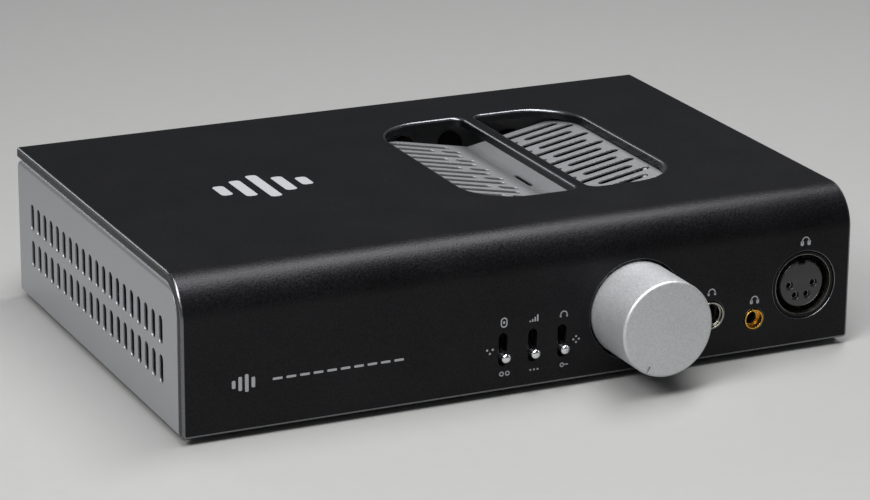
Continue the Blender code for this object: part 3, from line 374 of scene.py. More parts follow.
# Folding: a flat sheet at z = 0 is laid along a path, u across it and v along it

def foldPath(points, radius):
    # spans of the path: start along it, length, place, heading, signed outside radius (0 for a straight)
    corners = [Vector(p) for p in points]
    spans, travelled, here = [], 0, corners[0]
    for i in range(1, len(corners)):
        way = corners[i] - corners[i - 1]
        heading = math.atan2(way.y, way.x)
        if i + 1 < len(corners):
            after = corners[i + 1] - corners[i]
            turn = math.remainder(heading - math.atan2(after.y, after.x), 2 * math.pi)
            trim = radius * math.tan(abs(turn) / 2)
        else:
            turn, trim = 0, 0
        stop = corners[i] - way.normalized() * trim
        length = (stop - here).length
        spans.append((travelled, length, here, heading, 0))
        travelled += length
        if turn:
            signed = math.copysign(radius, turn)
            spans.append((travelled, abs(turn) * radius, stop, heading, signed))
            travelled += abs(turn) * radius
            here = corners[i] + after.normalized() * trim
    return spans, travelled


def alongPath(spans, v):
    # place and outward normal at distance v
    for start, length, place, heading, radius in spans:
        if v <= start + length or (start, length) == spans[-1][:2]:
            break
    run = v - start
    if not radius:
        normal = Vector((-math.sin(heading), math.cos(heading)))
        return place + Vector((math.cos(heading), math.sin(heading))) * run, normal
    centre = place - Vector((-math.sin(heading), math.cos(heading))) * radius
    now = heading - run / radius
    normal = Vector((-math.sin(now), math.cos(now)))
    return centre + normal * radius, normal


def folded(bm, spans, toWorld, stepDegrees):
    # lays the flat sheet along the spans and gives it back closed, faces outwards
    for start, length, place, heading, radius in spans:
        if not radius:
            continue
        steps = max(int(math.degrees(length / abs(radius)) / stepDegrees), 2)
        for i in range(steps + 1):
            bmesh.ops.bisect_plane(bm, geom=bm.verts[:] + bm.edges[:] + bm.faces[:], dist=1e-4,
                                   plane_co=(0, start + length * i / steps, 0), plane_no=(0, 1, 0))
    for vert in bm.verts:
        place, normal = alongPath(spans, vert.co.y)
        place = place + normal * vert.co.z
        vert.co = toWorld(vert.co.x, place)
    bmesh.ops.remove_doubles(bm, verts=bm.verts, dist=0.003)
    bmesh.ops.recalc_face_normals(bm, faces=bm.faces)
    if bm.calc_volume(signed=True) < 0:
        bmesh.ops.reverse_faces(bm, faces=bm.faces)
    return bm


# Geometry Nodes: rows of slots, and sheets filled round them

def newTree(name, sockets):
    tree = bpy.data.node_groups.new(name, "GeometryNodeTree")
    for label, kind, value in sockets:
        socket = tree.interface.new_socket(name=label, in_out="INPUT", socket_type="NodeSocket" + kind)
        if value is not None:
            socket.default_value = value
    tree.interface.new_socket(name="Geometry", in_out="OUTPUT", socket_type="NodeSocketGeometry")
    return tree


def slotRowsTree():
    # two mirrored rows of obround outlines, a distance either side of the sheet's middle line
    tree = newTree("slot rows", [("Middle", "Float", 0.0), ("From Middle", "Float", 10.0),
                                 ("Slot Length", "Float", 9.0), ("Slot Width", "Float", 3.0),
                                 ("First", "Float", 0.0), ("Pitch", "Float", 6.0), ("Count", "Int", 10)])
    given = addNode(tree, "NodeGroupInput").outputs
    block = addNode(tree, "GeometryNodeCurvePrimitiveQuadrilateral", {"Width": given["Slot Width"],
                                                                      "Height": given["Slot Length"]})
    half = addNode(tree, "ShaderNodeMath", {0: given["Slot Width"], 1: 0.499}, operation="MULTIPLY")
    rounded = addNode(tree, "GeometryNodeFilletCurve", {"Curve": block.outputs[0], "Count": 7,
                                                        "Radius": half.outputs[0]}, mode="POLY")
    rows = addNode(tree, "GeometryNodeJoinGeometry")
    step = addNode(tree, "ShaderNodeCombineXYZ", {"X": given["Pitch"]})
    for sign in (-1, 1):
        across = addNode(tree, "ShaderNodeMath", {0: given["From Middle"], 1: sign, 2: given["Middle"]},
                         operation="MULTIPLY_ADD")
        start = addNode(tree, "ShaderNodeCombineXYZ", {"X": given["First"], "Y": across.outputs[0]})
        line = addNode(tree, "GeometryNodeMeshLine", {"Count": given["Count"], "Offset": step.outputs[0],
                                                      "Start Location": start.outputs[0]})
        slots = addNode(tree, "GeometryNodeInstanceOnPoints", {"Points": line.outputs[0],
                                                               "Instance": rounded.outputs[0]})
        tree.links.new(slots.outputs[0], rows.inputs[0])
    addNode(tree, "NodeGroupOutput", {"Geometry": rows.outputs[0]})
    return tree


def slottedSheetTree(name, rowSets, rowsTree):
    # the base mesh's edge loops are the outline (clockwise) and plain holes (anticlockwise);
    # each row set adds its own slots, and a rounded lip runs round every loop
    sockets = [("Geometry", "Geometry", None), ("Thickness", "Float", 1.2), ("Lip", "Float", 0.2),
               ("Middle", "Float", 0.0), ("Slot Width", "Float", 3.0), ("Pitch", "Float", 6.0),
               ("Material", "Material", None)]
    for label in rowSets:
        sockets += [(label + " From Middle", "Float", 10.0), (label + " Length", "Float", 9.0),
                    (label + " First", "Float", 0.0), (label + " Count", "Int", 10)]
    tree = newTree(name, sockets)
    given = addNode(tree, "NodeGroupInput").outputs
    edges = addNode(tree, "GeometryNodeMeshToCurve", {"Mesh": given["Geometry"]})
    outlines = addNode(tree, "GeometryNodeJoinGeometry")
    tree.links.new(edges.outputs[0], outlines.inputs[0])
    for label in rowSets:
        rows = addNode(tree, "GeometryNodeGroup", node_tree=rowsTree)
        for socket, source in (("Middle", "Middle"), ("Slot Width", "Slot Width"), ("Pitch", "Pitch"),
                               ("From Middle", label + " From Middle"), ("Slot Length", label + " Length"),
                               ("First", label + " First"), ("Count", label + " Count")):
            tree.links.new(given[source], rows.inputs[socket])
        tree.links.new(rows.outputs[0], outlines.inputs[0])
    real = addNode(tree, "GeometryNodeRealizeInstances", {"Geometry": outlines.outputs[0]})
    # the wall's section, from lip to lip
    corners = [addNode(tree, "ShaderNodeCombineXYZ", {0: x, 1: y}).outputs[0]
               for x, y in ((given["Lip"], 0.0), (0.0, 0.0), (0.0, given["Thickness"]),
                            (given["Lip"], given["Thickness"]))]
    section = addNode(tree, "GeometryNodeCurvePrimitiveQuadrilateral",
                      {"Point %d" % (i + 1): corner for i, corner in enumerate(corners)}, mode="POINTS")
    opened = addNode(tree, "GeometryNodeSetSplineCyclic", {"Geometry": section.outputs[0], "Cyclic": False})
    lip = addNode(tree, "ShaderNodeMath", {0: given["Lip"], 1: 0.98}, operation="MULTIPLY")
    rounded = addNode(tree, "GeometryNodeFilletCurve", {"Curve": opened.outputs[0], "Count": 2,
                                                        "Radius": lip.outputs[0]}, mode="POLY")
    walls = addNode(tree, "GeometryNodeCurveToMesh", {"Curve": real.outputs[0],
                                                      "Profile Curve": rounded.outputs[0]})
    # the two faces, drawn back by the lip
    tangent = addNode(tree, "GeometryNodeInputTangent")
    across = addNode(tree, "ShaderNodeVectorMath", {0: tangent.outputs[0], 1: (0, 0, 1)},
                     operation="CROSS_PRODUCT")
    reach = addNode(tree, "ShaderNodeVectorMath", {0: across.outputs[0], "Scale": given["Lip"]},
                    operation="SCALE")
    drawn = addNode(tree, "GeometryNodeSetPosition", {"Geometry": real.outputs[0],
                                                      "Offset": reach.outputs[0]})
    face = addNode(tree, "GeometryNodeFillCurve", {"Curve": drawn.outputs[0]}, mode="TRIANGLES")
    depth = addNode(tree, "ShaderNodeMath", {0: given["Thickness"], 1: -1.0}, operation="MULTIPLY")
    down = addNode(tree, "ShaderNodeCombineXYZ", {"Z": depth.outputs[0]})
    back = addNode(tree, "GeometryNodeTransform", {"Geometry": face.outputs[0],
                                                   "Translation": down.outputs[0]})
    whole = addNode(tree, "GeometryNodeJoinGeometry")
    for source in (face, back, walls):
        tree.links.new(source.outputs[0], whole.inputs[0])
    welded = addNode(tree, "GeometryNodeMergeByDistance", {"Geometry": whole.outputs[0], "Distance": 0.002})
    solid = addNode(tree, "GeometryNodeRealizeInstances", {"Geometry": welded.outputs[0]})
    done = addNode(tree, "GeometryNodeSetMaterial", {"Geometry": solid.outputs[0],
                                                     "Material": given["Material"]})
    addNode(tree, "NodeGroupOutput", {"Geometry": done.outputs[0]})
    return tree


def runTree(tree, bm, values):
    # evaluates the tree on a mesh and returns the result as a bmesh
    carrier = newObject(tree.name, bm)
    modifier = carrier.modifiers.new(tree.name, "NODES")
    modifier.node_group = tree
    for item in tree.interface.items_tree:
        if item.in_out == "INPUT" and item.name in values:
            modifier[item.identifier] = values[item.name]
    return takenBack(carrier)


def edgeLoops(loops):
    bm = bmesh.new()
    for loop in loops:
        verts = [bm.verts.new((u, v, 0)) for u, v in loop]
        for i, vert in enumerate(verts):
            bm.edges.new((vert, verts[(i + 1) % len(verts)]))
    return bm


slotRows = slotRowsTree()

coverLow, coverHigh = nodeBox("wrap_cover")
shellLow, shellHigh = nodeBox("inner_shell")
screenLow, screenHigh = nodeBox("vent_screen")
knobMiddle = nodeMiddle("volume_knob")
xlrMiddle = nodeMiddle("xlr_phone_shell")
phoneMiddle = nodeMiddle("phone_jack_ring")
balancedMiddle = nodeMiddle("balanced_jack_ring")
panelLow, panelHigh = nodeBox("rear_panel")
frontY, rearY, baseZ, topZ = coverLow.y, coverHigh.y, coverLow.z, coverHigh.z


# Wrapped cover
print("wrapped cover")
coverSizes = {"thickness": 3.0, "bendRadius": 13.0, "edgeBreak": 0.8, "holeBreak": 0.3, "corner": 1.3,
              "printRelief": 0.03, "slotHeight": 10.6, "slotWidth": 3.0, "knobClearance": 0.9,
              "panelClearance": 0.3, "switchHeight": 13.43, "aroundLever": (3, 7)}
ventSizes = {"halfWidth": 36.15, "halfBar": 2.25, "corner": 17.8, "barCorner": 3.5, "frontOverrun": 2.0,
             "rearShortfall": 1.5}
switchZ = baseZ + coverSizes["switchHeight"]
leverNames = ("input", "gain", "output")
leverPlaces = {name: nodeMiddle(name + "_lever").x for name in leverNames}
coverTop = topZ - coverSizes["printRelief"]       # leaves the top print its own thickness
coverSpans, coverLength = foldPath([(frontY, baseZ), (frontY, coverTop), (rearY, coverTop)],
                                   coverSizes["bendRadius"])


def topV(y):
    return coverLength - (rearY - y)


ventLow = topV(screenLow.y + ventSizes["frontOverrun"])
ventHigh = topV(screenHigh.y + ventSizes["rearShortfall"])
side, bar = ventSizes["halfWidth"], ventSizes["halfBar"]
big, small = ventSizes["corner"], ventSizes["barCorner"]
ventLoops = [roundedRect((knobMiddle.x - side, ventLow), (knobMiddle.x - bar, ventHigh),
                         (big, small, small, big), 20),
             roundedRect((knobMiddle.x + bar, ventLow), (knobMiddle.x + side, ventHigh),
                         (small, big, big, small), 20)]
coverLoops = [(roundedRect((coverLow.x, 0), (coverHigh.x, coverLength), (coverSizes["corner"],) * 4, 5),
               coverSizes["edgeBreak"])]
coverLoops += [(loop, coverSizes["edgeBreak"]) for loop in ventLoops]
clear = coverSizes["panelClearance"]
for middle, node, room in ((knobMiddle, "volume_knob", coverSizes["knobClearance"]),
                           (xlrMiddle, "xlr_phone_shell", clear), (phoneMiddle, "phone_jack_ring", clear),
                           (balancedMiddle, "balanced_jack_ring", clear)):
    low, high = nodeBox(node)
    hole = circle((middle.x, middle.z - baseZ), (high.x - low.x) / 2 + room, 72)
    coverLoops.append((hole, coverSizes["holeBreak"]))
for x in leverPlaces.values():
    slot = obround((x, switchZ - baseZ), coverSizes["slotHeight"], coverSizes["slotWidth"])
    coverLoops.append((slot, coverSizes["holeBreak"]))
coverMesh = sheetMesh(coverLoops, coverSizes["thickness"])
for face in coverMesh.faces:
    x, v, z = face.calc_center_median()
    wide, tall = coverSizes["aroundLever"]
    besideLever = abs(v + baseZ - switchZ) < tall and any(abs(x - at) < wide for at in leverPlaces.values())
    # edge faces take the lighter grey, a painted highlight, everywhere but in the small slots
    if -coverSizes["edgeBreak"] < z < -0.01 and not besideLever:
        face.material_index = 1         # the machined edge shows everywhere but in the small slots
folded(coverMesh, coverSpans, lambda u, place: (u, place.x, place.y), 2.5)
newPiece("cover_sheet", coverMesh, [blackCover, paintedEdgeHighlight], "case", ("wrap_cover",), even=True)


# Folded shell with its two slotted sides
print("slotted shell")
shellSizes = {"sheet": 1.2, "wall": 0.65, "bend": 2.6, "frontCorner": 10.0, "rearCorner": 4.0, "edge": 0.16,
              "cornerSteps": 24, "slots": 20, "slotPitch": 6.3, "slotWidth": 3.3, "slotLength": 9.0,
              "rows": (16.5, 29.0), "openingHalf": 39.6, "openingFront": 1.0, "openingRear": 7.0,
              "openingCorner": 3.5}
shellSpans, shellGirth = foldPath([(shellLow.x, shellLow.z), (shellLow.x, shellHigh.z),
                                   (shellHigh.x, shellHigh.z), (shellHigh.x, shellLow.z)], shellSizes["bend"])


def setback(v, corner):
    # how far the side's rounded corner draws the edge in at distance v round the shell
    height = alongPath(shellSpans, v)[0].y
    rise = height - (shellHigh.z - corner)
    return corner - math.sqrt(max(corner ** 2 - rise ** 2, 0)) if rise > 0 else 0


cornerStart = shellHigh.z - shellLow.z - shellSizes["frontCorner"]
cornerEnd = shellSpans[1][0] + shellSpans[1][1]
cornerSteps = shellSizes["cornerSteps"]
rise = [0] + [cornerStart + (cornerEnd - cornerStart) * i / cornerSteps for i in range(cornerSteps + 1)]
aroundShell = rise + [shellGirth - v for v in reversed(rise)]
shellOutline = [(shellHigh.y - setback(v, shellSizes["rearCorner"]), v) for v in aroundShell]
shellOutline += [(shellLow.y + setback(v, shellSizes["frontCorner"]), v) for v in reversed(aroundShell)]
openingMiddle = shellGirth / 2 + knobMiddle.x
opening = roundedRect((screenLow.y - shellSizes["openingFront"], openingMiddle - shellSizes["openingHalf"]),
                      (screenHigh.y + shellSizes["openingRear"], openingMiddle + shellSizes["openingHalf"]),
                      (shellSizes["openingCorner"],) * 4, 6)
firstSlot = (shellLow.y + shellHigh.y) / 2 - (shellSizes["slots"] - 1) / 2 * shellSizes["slotPitch"]
shellValues = {"Thickness": shellSizes["wall"], "Lip": shellSizes["edge"], "Middle": shellGirth / 2,
               "Slot Width": shellSizes["slotWidth"], "Pitch": shellSizes["slotPitch"],
               "Material": satinSteel}
for label, height in zip(("Lower", "Upper"), shellSizes["rows"]):
    shellValues.update({label + " From Middle": shellGirth / 2 - (height + baseZ - shellLow.z),
                        label + " Length": shellSizes["slotLength"], label + " First": firstSlot,
                        label + " Count": shellSizes["slots"]})
shellTree = slottedSheetTree("slotted shell", ("Lower", "Upper"), slotRows)
shellMesh = runTree(shellTree, edgeLoops([shellOutline[::-1], opening]), shellValues)
folded(shellMesh, shellSpans, lambda u, place: (place.x, u, place.y), 9)
newPiece("slotted_shell", shellMesh, [satinSteel], "case", ("inner_shell",), even=True)


# Folded vent screen
print("vent screen")
screenSizes = {"wall": 0.65, "bend": 1.4, "edge": 0.1, "corner": 1.5, "flangeGap": 0.3, "slotWidth": 2.9,
               "pitch": 5.5, "rimDrop": 3.4, "valleyDrop": 10.3, "rim": 36.4, "joggle": 2.2,
               "single": (8.9, 31.9), "short": (6.9, 14.2), "long": (16.7, 35.3), "foldSlot": (13.0, 1.6),
               "rowsEachWay": 8}
flangeZ = shellHigh.z - shellSizes["sheet"] - screenSizes["flangeGap"]
rimZ, valleyZ = topZ - screenSizes["rimDrop"], topZ - screenSizes["valleyDrop"]
foot = screenSizes["rim"] + screenSizes["joggle"]
half = [(screenHigh.x - knobMiddle.x, flangeZ), (foot, flangeZ), (screenSizes["rim"], rimZ)]
screenLine = [(knobMiddle.x - u, z) for u, z in half] + [(knobMiddle.x, valleyZ)]
screenLine += [(knobMiddle.x + u, z) for u, z in reversed(half)]
screenSpans, screenGirth = foldPath(screenLine, screenSizes["bend"])
slope = math.hypot(screenSizes["rim"], rimZ - valleyZ) / screenSizes["rim"]
ventMiddle = (screenLow.y + ventSizes["frontOverrun"] + screenHigh.y + ventSizes["rearShortfall"]) / 2
screenOutline = roundedRect((screenLow.y, 0), (screenHigh.y, screenGirth), (screenSizes["corner"],) * 4, 4)
foldSlot = [(ventMiddle + v, screenGirth / 2 + u)
            for u, v in reversed(obround((0, 0), *screenSizes["foldSlot"]))]
screenValues = {"Thickness": screenSizes["wall"], "Lip": screenSizes["edge"], "Middle": screenGirth / 2,
                "Slot Width": screenSizes["slotWidth"], "Pitch": 2 * screenSizes["pitch"],
                "Material": litScreenSteel}
evenFirst = ventMiddle - screenSizes["rowsEachWay"] * screenSizes["pitch"]
for label, key, first in (("Single", "single", evenFirst + screenSizes["pitch"]),
                          ("Short", "short", evenFirst), ("Long", "long", evenFirst)):
    near, far = screenSizes[key]
    screenValues.update({label + " From Middle": (near + far) / 2 * slope,
                         label + " Length": (far - near) * slope,
                         label + " First": first, label + " Count": screenSizes["rowsEachWay"]})
screenTree = slottedSheetTree("slotted screen", ("Single", "Short", "Long"), slotRows)
screenMesh = runTree(screenTree, edgeLoops([screenOutline[::-1], foldSlot]), screenValues)
folded(screenMesh, screenSpans, lambda u, place: (place.x, u, place.y), 8)
newPiece("vent_screen_sheet", screenMesh, [litScreenSteel], "case", ("vent_screen",), even=True)


# Front controls
print("volume knob and toggles")
knobSizes = {"bevel": 1.0, "backEdge": 0.3, "notchLength": 2.9, "notchWidth": 0.95, "notchDepth": 0.6,
             "notchAngle": 151, "shaftHole": 3.3, "endWall": 10.3}
leverSizes = {"tip": 1.6, "dome": 1.05, "tipLength": 3.3, "neck": 1.25, "neckFoot": 5.13, "softening": 0.5,
              "ball": 1.6, "length": 11.4, "tilt": 12.5}


def cutAway(bm, cutter):
    whole, tool = newObject("cut", bm), newObject("cutter", cutter)
    whole.modifiers.new("cut", "BOOLEAN").object = tool
    result = takenBack(whole)
    bpy.data.objects.remove(tool)
    return result


def volumeKnob(sizes):
    low, high = nodeBox("volume_knob")
    radius, length = (high.x - low.x) / 2, high.y - low.y
    bevel, hole, floor = sizes["bevel"], sizes["shaftHole"], length - sizes["endWall"]
    profile = [(0, length)] + arc((radius - bevel, length - bevel), bevel, 90, 0, 6)
    profile += softened([(radius, length / 2), (radius, 0), (hole, 0)], sizes["backEdge"])
    knob = turnedMesh(profile + [(hole, floor), (0, floor)], 128)
    notch = sheetMesh([(obround((0, radius), 2 * sizes["notchLength"], sizes["notchWidth"], 8), 0.02)],
                      cutterHeight, 0.02, 1)
    turn = Matrix.Rotation(math.radians(sizes["notchAngle"]), 4, "Z")
    moved(notch, turn @ Matrix.Translation((0, 0, length - sizes["notchDepth"] + cutterHeight)))
    knob = moved(cutAway(knob, notch), Matrix.Translation((knobMiddle.x, high.y, knobMiddle.z)) @ frontFacing)
    newPiece("volume_knob_turned", knob, [knobAluminium], "volume", ("volume_knob",),
             even=True)


def toggleLever(name, sizes):
    joint = next(j for j in frame["joints"] if j["name"] == name + "_flip")
    top, tip, neck, ball = sizes["length"], sizes["tip"], sizes["neck"], sizes["ball"]
    shoulder = top - sizes["dome"]
    dome = (math.radians(90 * i / 8) for i in range(9))
    profile = [(tip * math.sin(a), shoulder + sizes["dome"] * math.cos(a)) for a in dome]
    profile += softened([(tip, shoulder - 0.1), (tip, top - sizes["tipLength"]), (neck, sizes["neckFoot"])],
                        sizes["softening"])
    profile += arc((0, 0), ball, math.degrees(math.acos(neck / ball)), -90, 14)[:-1] + [(0, -ball)]
    tilt = math.radians(sizes["tilt"])
    lever = moved(turnedMesh(profile, 40),
                  facing(Vector(joint["pos_m"]) * 1000, (0, -math.cos(tilt), -math.sin(tilt))))
    newPiece(name + "_lever_bat", lever, [chrome], name + "_toggle", (name + "_lever",))


volumeKnob(knobSizes)
for leverName in leverNames:
    toggleLever(leverName, leverSizes)


# Headphone sockets
print("headphone sockets")
jackSizes = {"phone": {"radius": 4.45, "bore": 3.7, "proud": 0.4, "depth": 3.0, "lip": 0.15, "face": 0.45,
                       "step": 0.9},
             "balanced": {"radius": 3.25, "bore": 2.1, "proud": 0.3, "depth": 3.0, "lip": 0.12, "face": 0.4,
                          "step": 2.2}}
xlrSizes = {"radius": 11.0, "bore": 10.1, "depth": 16.0, "floor": 13.0, "shield": 0.14, "shieldGap": 0.02,
            "shieldLift": 0.4, "shieldDrop": 0.25, "phoneRim": -0.3, "lineRim": 1.5, "flange": 12.2,
            "flangeBack": 0.3, "insert": 7.8, "sunk": 1.3, "insertLift": 0.3, "insertEdge": 0.6,
            "keyWidth": 2.5, "keyDepth": 1.2, "contactCircle": 4.4, "hole": 1.3, "holeEdge": 0.25,
            "contact": (0.95, 1.2), "contactEnds": (-9, -2.4), "phoneAngles": (-4, 184, 241, 299),
            "lineAngles": (10, 170, 270)}


def tube(inside, outside, low, high, softening, turns, steps=3):
    # a closed ring of four softened corners
    section = [(outside, high), (outside, low), (inside, low), (inside, high)]
    return turnedMesh(softened(section, softening, steps, True), turns, True)


def jackRing(name, middle, sizes, material):
    mouth, step = sizes["radius"] - sizes["face"], -sizes["step"]
    ring = softened([(sizes["radius"], sizes["proud"]), (sizes["radius"], -sizes["depth"]),
                     (sizes["bore"], -sizes["depth"]), (sizes["bore"], step), (mouth, step),
                     (mouth, sizes["proud"])], sizes["lip"], 4, True)
    bm = moved(turnedMesh(ring, 64, True), Matrix.Translation((middle.x, frontY, middle.z)) @ frontFacing)
    newPiece(name + "_jack_bezel", bm, [material], "case", (name + "_jack_ring",))


def connectorInsert(sizes, angles):
    # the moulded block, its contact holes and key slot, with a sprung sleeve in each hole
    radius, wide, keyEnd = sizes["insert"], sizes["keyWidth"] / 2, sizes["insert"] - sizes["keyDepth"]
    gap = math.degrees(math.asin(wide / radius))
    outline = arc((0, 0), radius, 90 + gap, 450 - gap, 60) + [(wide, keyEnd), (-wide, keyEnd)]
    reach, turns = sizes["contactCircle"], [math.radians(angle) for angle in angles]
    places = [(reach * math.cos(a), reach * math.sin(a)) for a in turns]
    loops = [(outline, sizes["insertEdge"])]
    loops += [(circle(place, sizes["hole"], 28), sizes["holeEdge"]) for place in places]
    block = sheetMesh(loops, sizes["floor"] - sizes["sunk"] - sizes["insertLift"], 0.1, 4)
    parts = [(moved(block, Matrix.Translation((0, 0, -sizes["sunk"]))), 0)]
    for u, v in places:
        contact = tube(*sizes["contact"], *sizes["contactEnds"], 0.1, 24)
        parts.append((moved(contact, Matrix.Translation((u, v, 0))), 1))
    return joined(parts)


def connectorShell(sizes, rim, flange):
    radius, bore, floor, back = sizes["radius"], sizes["bore"], -sizes["floor"], sizes["flangeBack"]
    cup = [(0, floor), (bore, floor), (bore, rim)]
    cup += [(flange, rim), (flange, back), (radius, back)] if flange else [(radius, rim)]
    cup += [(radius, -sizes["depth"]), (0, -sizes["depth"])]
    outside = bore - sizes["shieldGap"]
    ring = tube(outside - sizes["shield"], outside, floor + sizes["shieldLift"], rim - sizes["shieldDrop"],
                0.08, 96, 2)
    return joined([(turnedMesh(softened(cup, 0.25), 96), 0), (ring, 1)])


jackRing("phone", phoneMiddle, jackSizes["phone"], nickel)
jackRing("balanced", balancedMiddle, jackSizes["balanced"], gold)
xlrPlace = Matrix.Translation((xlrMiddle.x, frontY, xlrMiddle.z)) @ frontFacing
newPiece("xlr_phone_housing", moved(connectorShell(xlrSizes, xlrSizes["phoneRim"], 0), xlrPlace),
         [blackZinc, nickel], "case", ("xlr_phone_shell",))
newPiece("xlr_phone_contacts", moved(connectorInsert(xlrSizes, xlrSizes["phoneAngles"]), xlrPlace),
         [greyNylon, nickel], "case", ("xlr_phone_insert",))


# Rear sockets
print("rear sockets")
phonoSizes = {"flange": 5.6, "flangeTop": 1.5, "flangeBack": 0.3, "barrel": 4.15, "proud": 8.0, "cup": 3.4,
              "floor": 1.8, "tail": 2.9, "insulator": 1.8, "insulatorSunk": 0.7, "hole": 1.25, "pinSunk": 1.1}
inletSizes = {"mouthHalf": (9, 5), "blades": (15.9, 1.5)}       # blades: behind the inlet's rear face
panelY = panelHigh.y


def phono(name, ringMaterial, sizes):
    middle = nodeMiddle(name + "_phono")
    cup, barrel, flange, floor, proud = (sizes[k] for k in ("cup", "barrel", "flange", "floor", "proud"))
    top, back, tail = sizes["flangeTop"], sizes["flangeBack"], -sizes["tail"]
    body = [(0, floor), (cup, floor), (cup, proud), (barrel, proud), (barrel, top), (flange, top),
            (flange, back), (barrel, back), (barrel, tail), (0, tail)]
    insulator = tube(sizes["insulator"], cup - 0.05, floor + 0.05, proud - sizes["insulatorSunk"], 0.2, 48)
    pin = tube(sizes["hole"], sizes["insulator"] - 0.05, floor + 0.1, proud - sizes["pinSunk"], 0.1, 32, 2)
    bm = joined([(turnedMesh(softened(body, 0.2), 56), 0), (insulator, 1), (pin, 0)])
    for face in bm.faces:
        if face.calc_center_median().z < 0.2:
            face.material_index = 2             # the moulding behind the panel
    moved(bm, Matrix.Translation((middle.x, panelY, middle.z)) @ rearFacing)
    newPiece(name + "_socket", bm, [gold, ringMaterial, nylon], "case", (name + "_phono",))


def lineConnector(name, sizes):
    middle = nodeMiddle(name)
    socket = joined([(connectorShell(sizes, sizes["lineRim"], sizes["flange"]), 0),
                     (connectorInsert(sizes, sizes["lineAngles"]), 2)])
    moved(socket, Matrix.Translation((middle.x, panelY, middle.z)) @ rearFacing)
    newPiece(name + "_socket", socket, [blackZinc, nickel, greyNylon, gold], "case", (name,))


def easedCopy(node, width, materials, slot, body="case", pick=None, segments=2, sharper=40, raised=0.0):
    # the frame's own shape with its edges rounded; pick gives a face's material from its centre,
    # and raised lifts the top edge
    bm = bmesh.new()
    bm.from_mesh(frame["nodes"][node].data)
    moved(bm, Matrix.Scale(1000, 4))
    top = nodeBox(node)[1].z
    for vert in bm.verts:
        if vert.co.z > top - 0.01:
            vert.co.z += raised
    bmesh.ops.remove_doubles(bm, verts=bm.verts, dist=0.002)
    bmesh.ops.dissolve_limit(bm, angle_limit=math.radians(0.5), verts=bm.verts, edges=bm.edges)
    edges = [e for e in bm.edges if len(e.link_faces) == 2 and e.calc_face_angle() > math.radians(sharper)]
    bmesh.ops.bevel(bm, geom=edges, offset=width, offset_type="OFFSET", segments=segments, profile=0.5,
                    affect="EDGES", clamp_overlap=True)
    if pick:
        for face in bm.faces:
            face.material_index = pick(face.calc_center_median())
    newPiece(node + "_eased", bm, materials, body, (node,), even=True)


def inletPart(centre):
    # the three blades stand inside the mouth
    middle, rear = nodeMiddle("power_inlet"), nodeBox("power_inlet")[1].y
    wide, tall = inletSizes["mouthHalf"]
    deepest, nearest = inletSizes["blades"]
    inside = abs(centre.x - middle.x) < wide and abs(centre.z - middle.z) < tall
    return int(inside and rear - deepest < centre.y < rear - nearest)


for row, ringMaterial in (("upper", whiteNylon), ("lower", redNylon)):
    for direction in ("in", "out"):
        phono("line_%s_%s" % (direction, row), ringMaterial, phonoSizes)
for place in ("left", "right"):
    lineConnector("xlr_line_" + place, xlrSizes)
easedCopy("power_inlet", 0.3, [nylon, nickel], "black_plastic", pick=inletPart)
easedCopy("rocker_frame", 0.3, [nylon], "black_plastic")
easedCopy("power_rocker", 0.35, [nylon], "black_plastic", "mains_rocker", segments=3, sharper=25)
easedCopy("module_cover", 0.25, [satinSteel], "silver_steel")


# Inside the case
print("inside the case")
insideParts = {      # edge width, material and slot
    "base_tray": (0.15, satinSteel, "silver_steel"),
    "rear_panel": (0.15, satinSteel, "silver_steel"),
    **{name + "_switch_body": (0.25, nylon, "black_plastic") for name in leverNames},
    "phone_jack_body": (0.25, nylon, "black_plastic"),
    "balanced_jack_body": (0.25, nylon, "black_plastic"),
    "pot_body": (0.3, castZinc, "zinc"),
    "pot_bracket": (0.15, zincSteel, "steel"),
    "transformer_core": (0.3, laminations, "dark_steel"),
    "transformer_coil": (0.8, coilTape, "coil_tape"),
    "heat_sink": (0.2, blackSink, "black_aluminium"),
    "main_board": (0.15, solderMask, "board"),
    **{"output_transistor_%d" % number: (0.3, epoxy, "black_plastic") for number in range(1, 5)},
}
partOptions = {"rear_panel": {"raised": shellSizes["sheet"] - shellSizes["wall"]},
               "transformer_coil": {"segments": 4}}
for node, (width, material, slot) in insideParts.items():
    easedCopy(node, width, [material], slot, **partOptions.get(node, {}))
canSizes = {"roll": 0.9, "rim": 1.1, "sink": 0.5, "disc": 0.28, "gap": 0.02, "groove": 1.6,
            "grooveWidth": 0.35, "grooveDepth": 0.25, "scoreReach": 0.7, "scoreWidth": 0.4,
            "scoreDepth": 0.12, "scoreTurn": 20}


